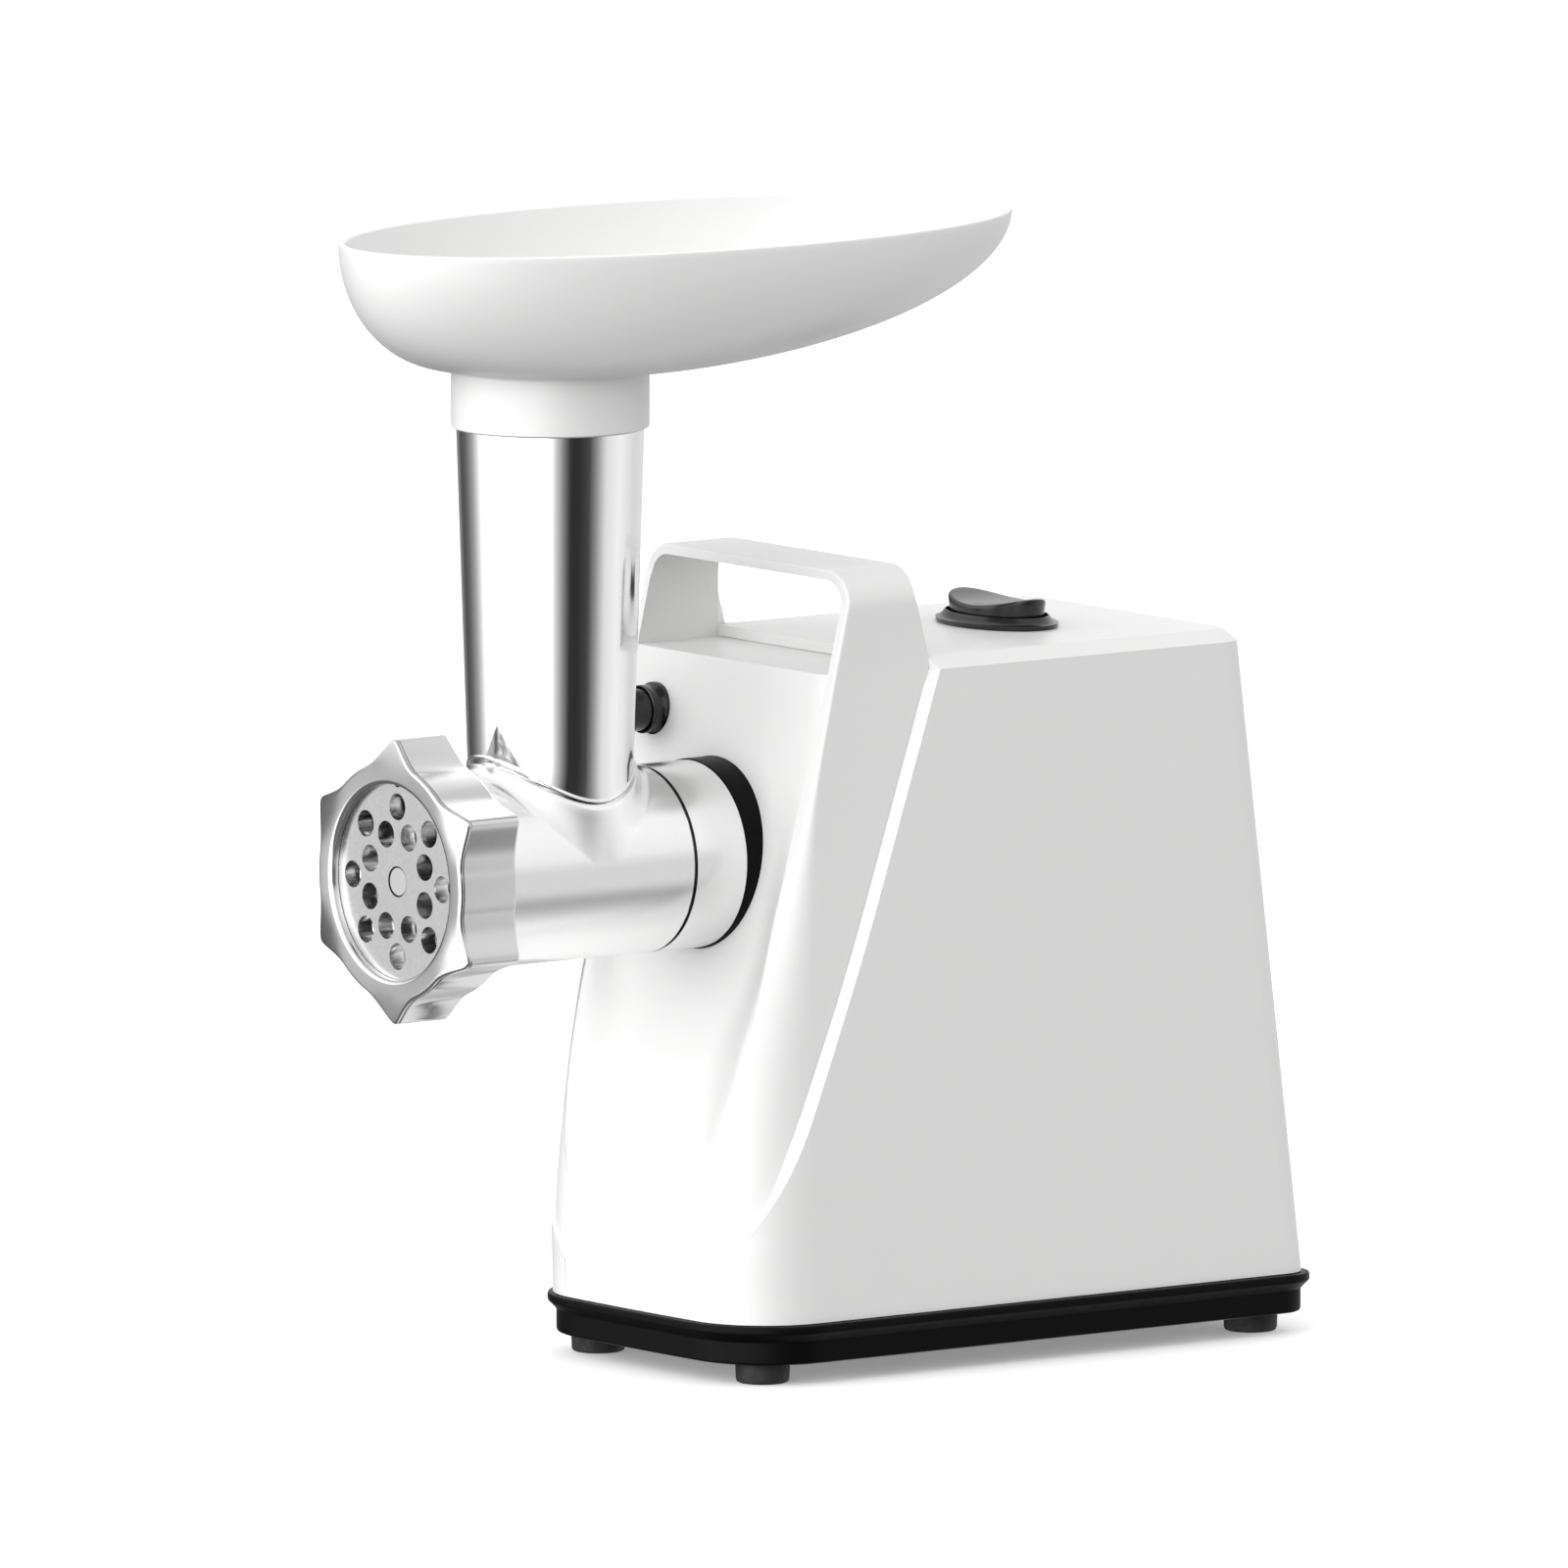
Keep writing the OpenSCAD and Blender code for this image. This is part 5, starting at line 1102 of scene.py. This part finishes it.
# Switch: a bezel with a sloping rim and a saddle rocker
BEZEL_X = SWITCH_HIGH[0]
BEZEL_Y = (SWITCH_HIGH[1] - SWITCH_LOW[1]) / 2
BEZEL_TOP = SWITCH_HIGH[2]
ROCKER_LOW, ROCKER_HIGH = measured("switch_rocker")
ROCKER_X = ROCKER_HIGH[0]
ROCKER_Y = 10.85
WELL = 0.8
SWITCH_GAP = 0.02
ROCKER_DIP = 3
ROCKER_COUNT = 96


def switch_ring(out, z):
    return oval(BEZEL_X + out, BEZEL_Y + out, SWITCH_Y, z, 128)


WELL_OUT = ROCKER_X + WELL - BEZEL_X
BRIM = [(0.25, 0), (0.6, -0.5), (1.2, -1.2), (1.9, -1.75), (2.6, -2.0), (3.05, -2.1)]
SWITCH_PROFILE = [(WELL_OUT, SWITCH_LOW[2]), (WELL_OUT, BEZEL_TOP)]
SWITCH_PROFILE += [(WELL_OUT + out, BEZEL_TOP + drop) for out, drop in BRIM]
SWITCH_PROFILE += [
    (0, BODY_TOP + 1.05), (0, BODY_TOP + 0.6), (-0.25, BODY_TOP + 0.1), (-0.6, BODY_TOP + SWITCH_GAP),
    (NECK_X - BEZEL_X, BODY_TOP + SWITCH_GAP), (NECK_X - BEZEL_X, SWITCH_LOW[2])]
add(solid("switch_surround", loft([switch_ring(out, z) for out, z in SWITCH_PROFILE], loop=True)),
    "housing", "black_plastic", ["switch_bezel"])


def rocker():
    """Oval block with a top that dips along its length."""
    def top(x):
        return ROCKER_HIGH[2] - ROCKER_DIP * (1 - (x / ROCKER_X) ** 2)

    def ring(share, drop):
        outline = oval(ROCKER_X * share, ROCKER_Y * share, SWITCH_Y, 0, ROCKER_COUNT)
        return [(x, y, top(x) - drop) for x, y, _ in outline]

    rings = [oval(ROCKER_X * 0.94, ROCKER_Y * 0.98, SWITCH_Y, ROCKER_LOW[2], ROCKER_COUNT)]
    rings += [ring(0.975, 3.4), ring(1, 1.1), ring(0.985, 0.5), ring(0.95, 0.12), ring(0.9, 0)]
    rings += [ring(share, 0) for share in (0.75, 0.6, 0.45, 0.3, 0.15, 0.05)]
    return loft(rings)


add(solid("rocker_cap", rocker()), "rocker", "black_plastic", ["switch_rocker"], 40)

# Stage: a pale floor, left out of reflections and of bounced light
scene = bpy.context.scene
FLOOR_HALF_M = 20
FLOOR_GLOW = 0.25
corners = [(FLOOR_HALF_M * x, FLOOR_HALF_M * y, 0) for x, y in ((-1, -1), (1, -1), (1, 1), (-1, 1))]
floor_mesh = bpy.data.meshes.new("floor")
floor_mesh.from_pydata(corners, [], [(0, 1, 2, 3)])
floor = bpy.data.objects.new("floor", floor_mesh)
scene.collection.objects.link(floor)
paint = bpy.data.materials.new("floor")
paint.use_nodes = True
paint_shader = paint.node_tree.nodes["Principled BSDF"]
paint_shader.inputs["Base Color"].default_value = (*grey(0.93), 1)
paint_shader.inputs["Roughness"].default_value = 0.9
paint_shader.inputs["Emission Color"].default_value = (1, 1, 1, 1)
paint_shader.inputs["Emission Strength"].default_value = FLOOR_GLOW
floor.visible_diffuse = False
floor.visible_glossy = False
floor.data.materials.append(paint)

# Surround: brightness by azimuth in degrees (0 is +X, -90 the front), below, at eye level and higher,
# and the heights of a direction over which one passes into the next
LOW_RING = [(-180, 0.2), (30, 0.2), (42, 0.3), (58, 1.1), (120, 1.1), (150, 0.2), (180, 0.2)]
LEVEL_RING = [
    (-180, 0.08), (-165, 0.15), (-150, 0.4), (-140, 0.85), (-130, 1.6), (-118, 2.8), (-60, 2.8), (-42, 2.2),
    (-30, 0.75), (-20, 0.25), (-12, 0.03), (0, 0.03), (14, 0.07), (25, 0.35), (38, 0.85), (60, 1.05),
    (90, 0.8), (140, 0.8), (160, 0.3), (180, 0.08)]
HIGH_RING = [
    (-180, 0.6), (-150, 1.5), (-120, 3.1), (-60, 3.1), (-25, 1.2), (20, 0.9), (60, 1.15), (140, 1.15),
    (170, 0.6), (180, 0.6)]
LOW_TO_LEVEL = (-0.5, -0.28)
LEVEL_TO_HIGH = (0.02, 0.25)
HIGH_TO_ABOVE = (0.45, 0.8)
ABOVE = 1.05
PEAK = 3.2


def surround():
    """World whose light comes from large soft panels round the object."""
    world = bpy.data.worlds.new("studio")
    world.use_nodes = True
    tree = world.node_tree
    background = tree.nodes["Background"]
    background.inputs["Strength"].default_value = PEAK
    way = tree.nodes.new("ShaderNodeTexCoord")
    parts = tree.nodes.new("ShaderNodeSeparateXYZ")
    tree.links.new(way.outputs["Generated"], parts.inputs["Vector"])
    azimuth = tree.nodes.new("ShaderNodeMath")
    azimuth.operation = "ARCTAN2"
    tree.links.new(parts.outputs["Y"], azimuth.inputs[0])
    tree.links.new(parts.outputs["X"], azimuth.inputs[1])

    def spread(source, low, high, smooth):
        made = tree.nodes.new("ShaderNodeMapRange")
        made.interpolation_type = "SMOOTHSTEP" if smooth else "LINEAR"
        made.inputs["From Min"].default_value = low
        made.inputs["From Max"].default_value = high
        tree.links.new(source, made.inputs["Value"])
        return made.outputs["Result"]

    share = spread(azimuth.outputs["Value"], -math.pi, math.pi, False)

    def ring(stops):
        made = tree.nodes.new("ShaderNodeValToRGB")
        marks = made.color_ramp.elements
        while len(marks) < len(stops):
            marks.new(0.5)
        for mark, (degrees, value) in zip(marks, stops):
            mark.position = (degrees + 180) / 360
            mark.color = [value / PEAK] * 3 + [1]
        tree.links.new(share, made.inputs["Fac"])
        return made.outputs["Color"]

    def blended(weight, a, b):
        made = tree.nodes.new("ShaderNodeMix")
        made.data_type = "RGBA"
        tree.links.new(weight, made.inputs[0])
        for socket, value in ((made.inputs[6], a), (made.inputs[7], b)):
            if isinstance(value, float):
                socket.default_value = [value / PEAK] * 3 + [1]
            else:
                tree.links.new(value, socket)
        return made.outputs[2]

    height = parts.outputs["Z"]
    lower = blended(spread(height, *LOW_TO_LEVEL, True), ring(LOW_RING), ring(LEVEL_RING))
    upper = blended(spread(height, *LEVEL_TO_HIGH, True), lower, ring(HIGH_RING))
    whole = blended(spread(height, *HIGH_TO_ABOVE, True), upper, ABOVE)
    tree.links.new(whole, background.inputs["Color"])
    return world


scene.world = surround()
scene.view_settings.view_transform = "Standard"

# Camera: far off with a long lens, since the photo shows nearly no perspective
TARGET = Vector((0, -0.0013, 0.1677))
VIEW = Vector((0.7942, -0.5941, 0.1279)).normalized()
CAMERA_DISTANCE_M = 11.4
LENS = 900
SENSOR = 36
lens = bpy.data.cameras.new("camera")
lens.lens = LENS
lens.sensor_width = SENSOR
lens.clip_end = 100
camera = bpy.data.objects.new("camera", lens)
camera.location = TARGET + VIEW * CAMERA_DISTANCE_M
camera.rotation_euler = (-VIEW).to_track_quat("-Z", "Y").to_euler()
scene.collection.objects.link(camera)
scene.camera = camera
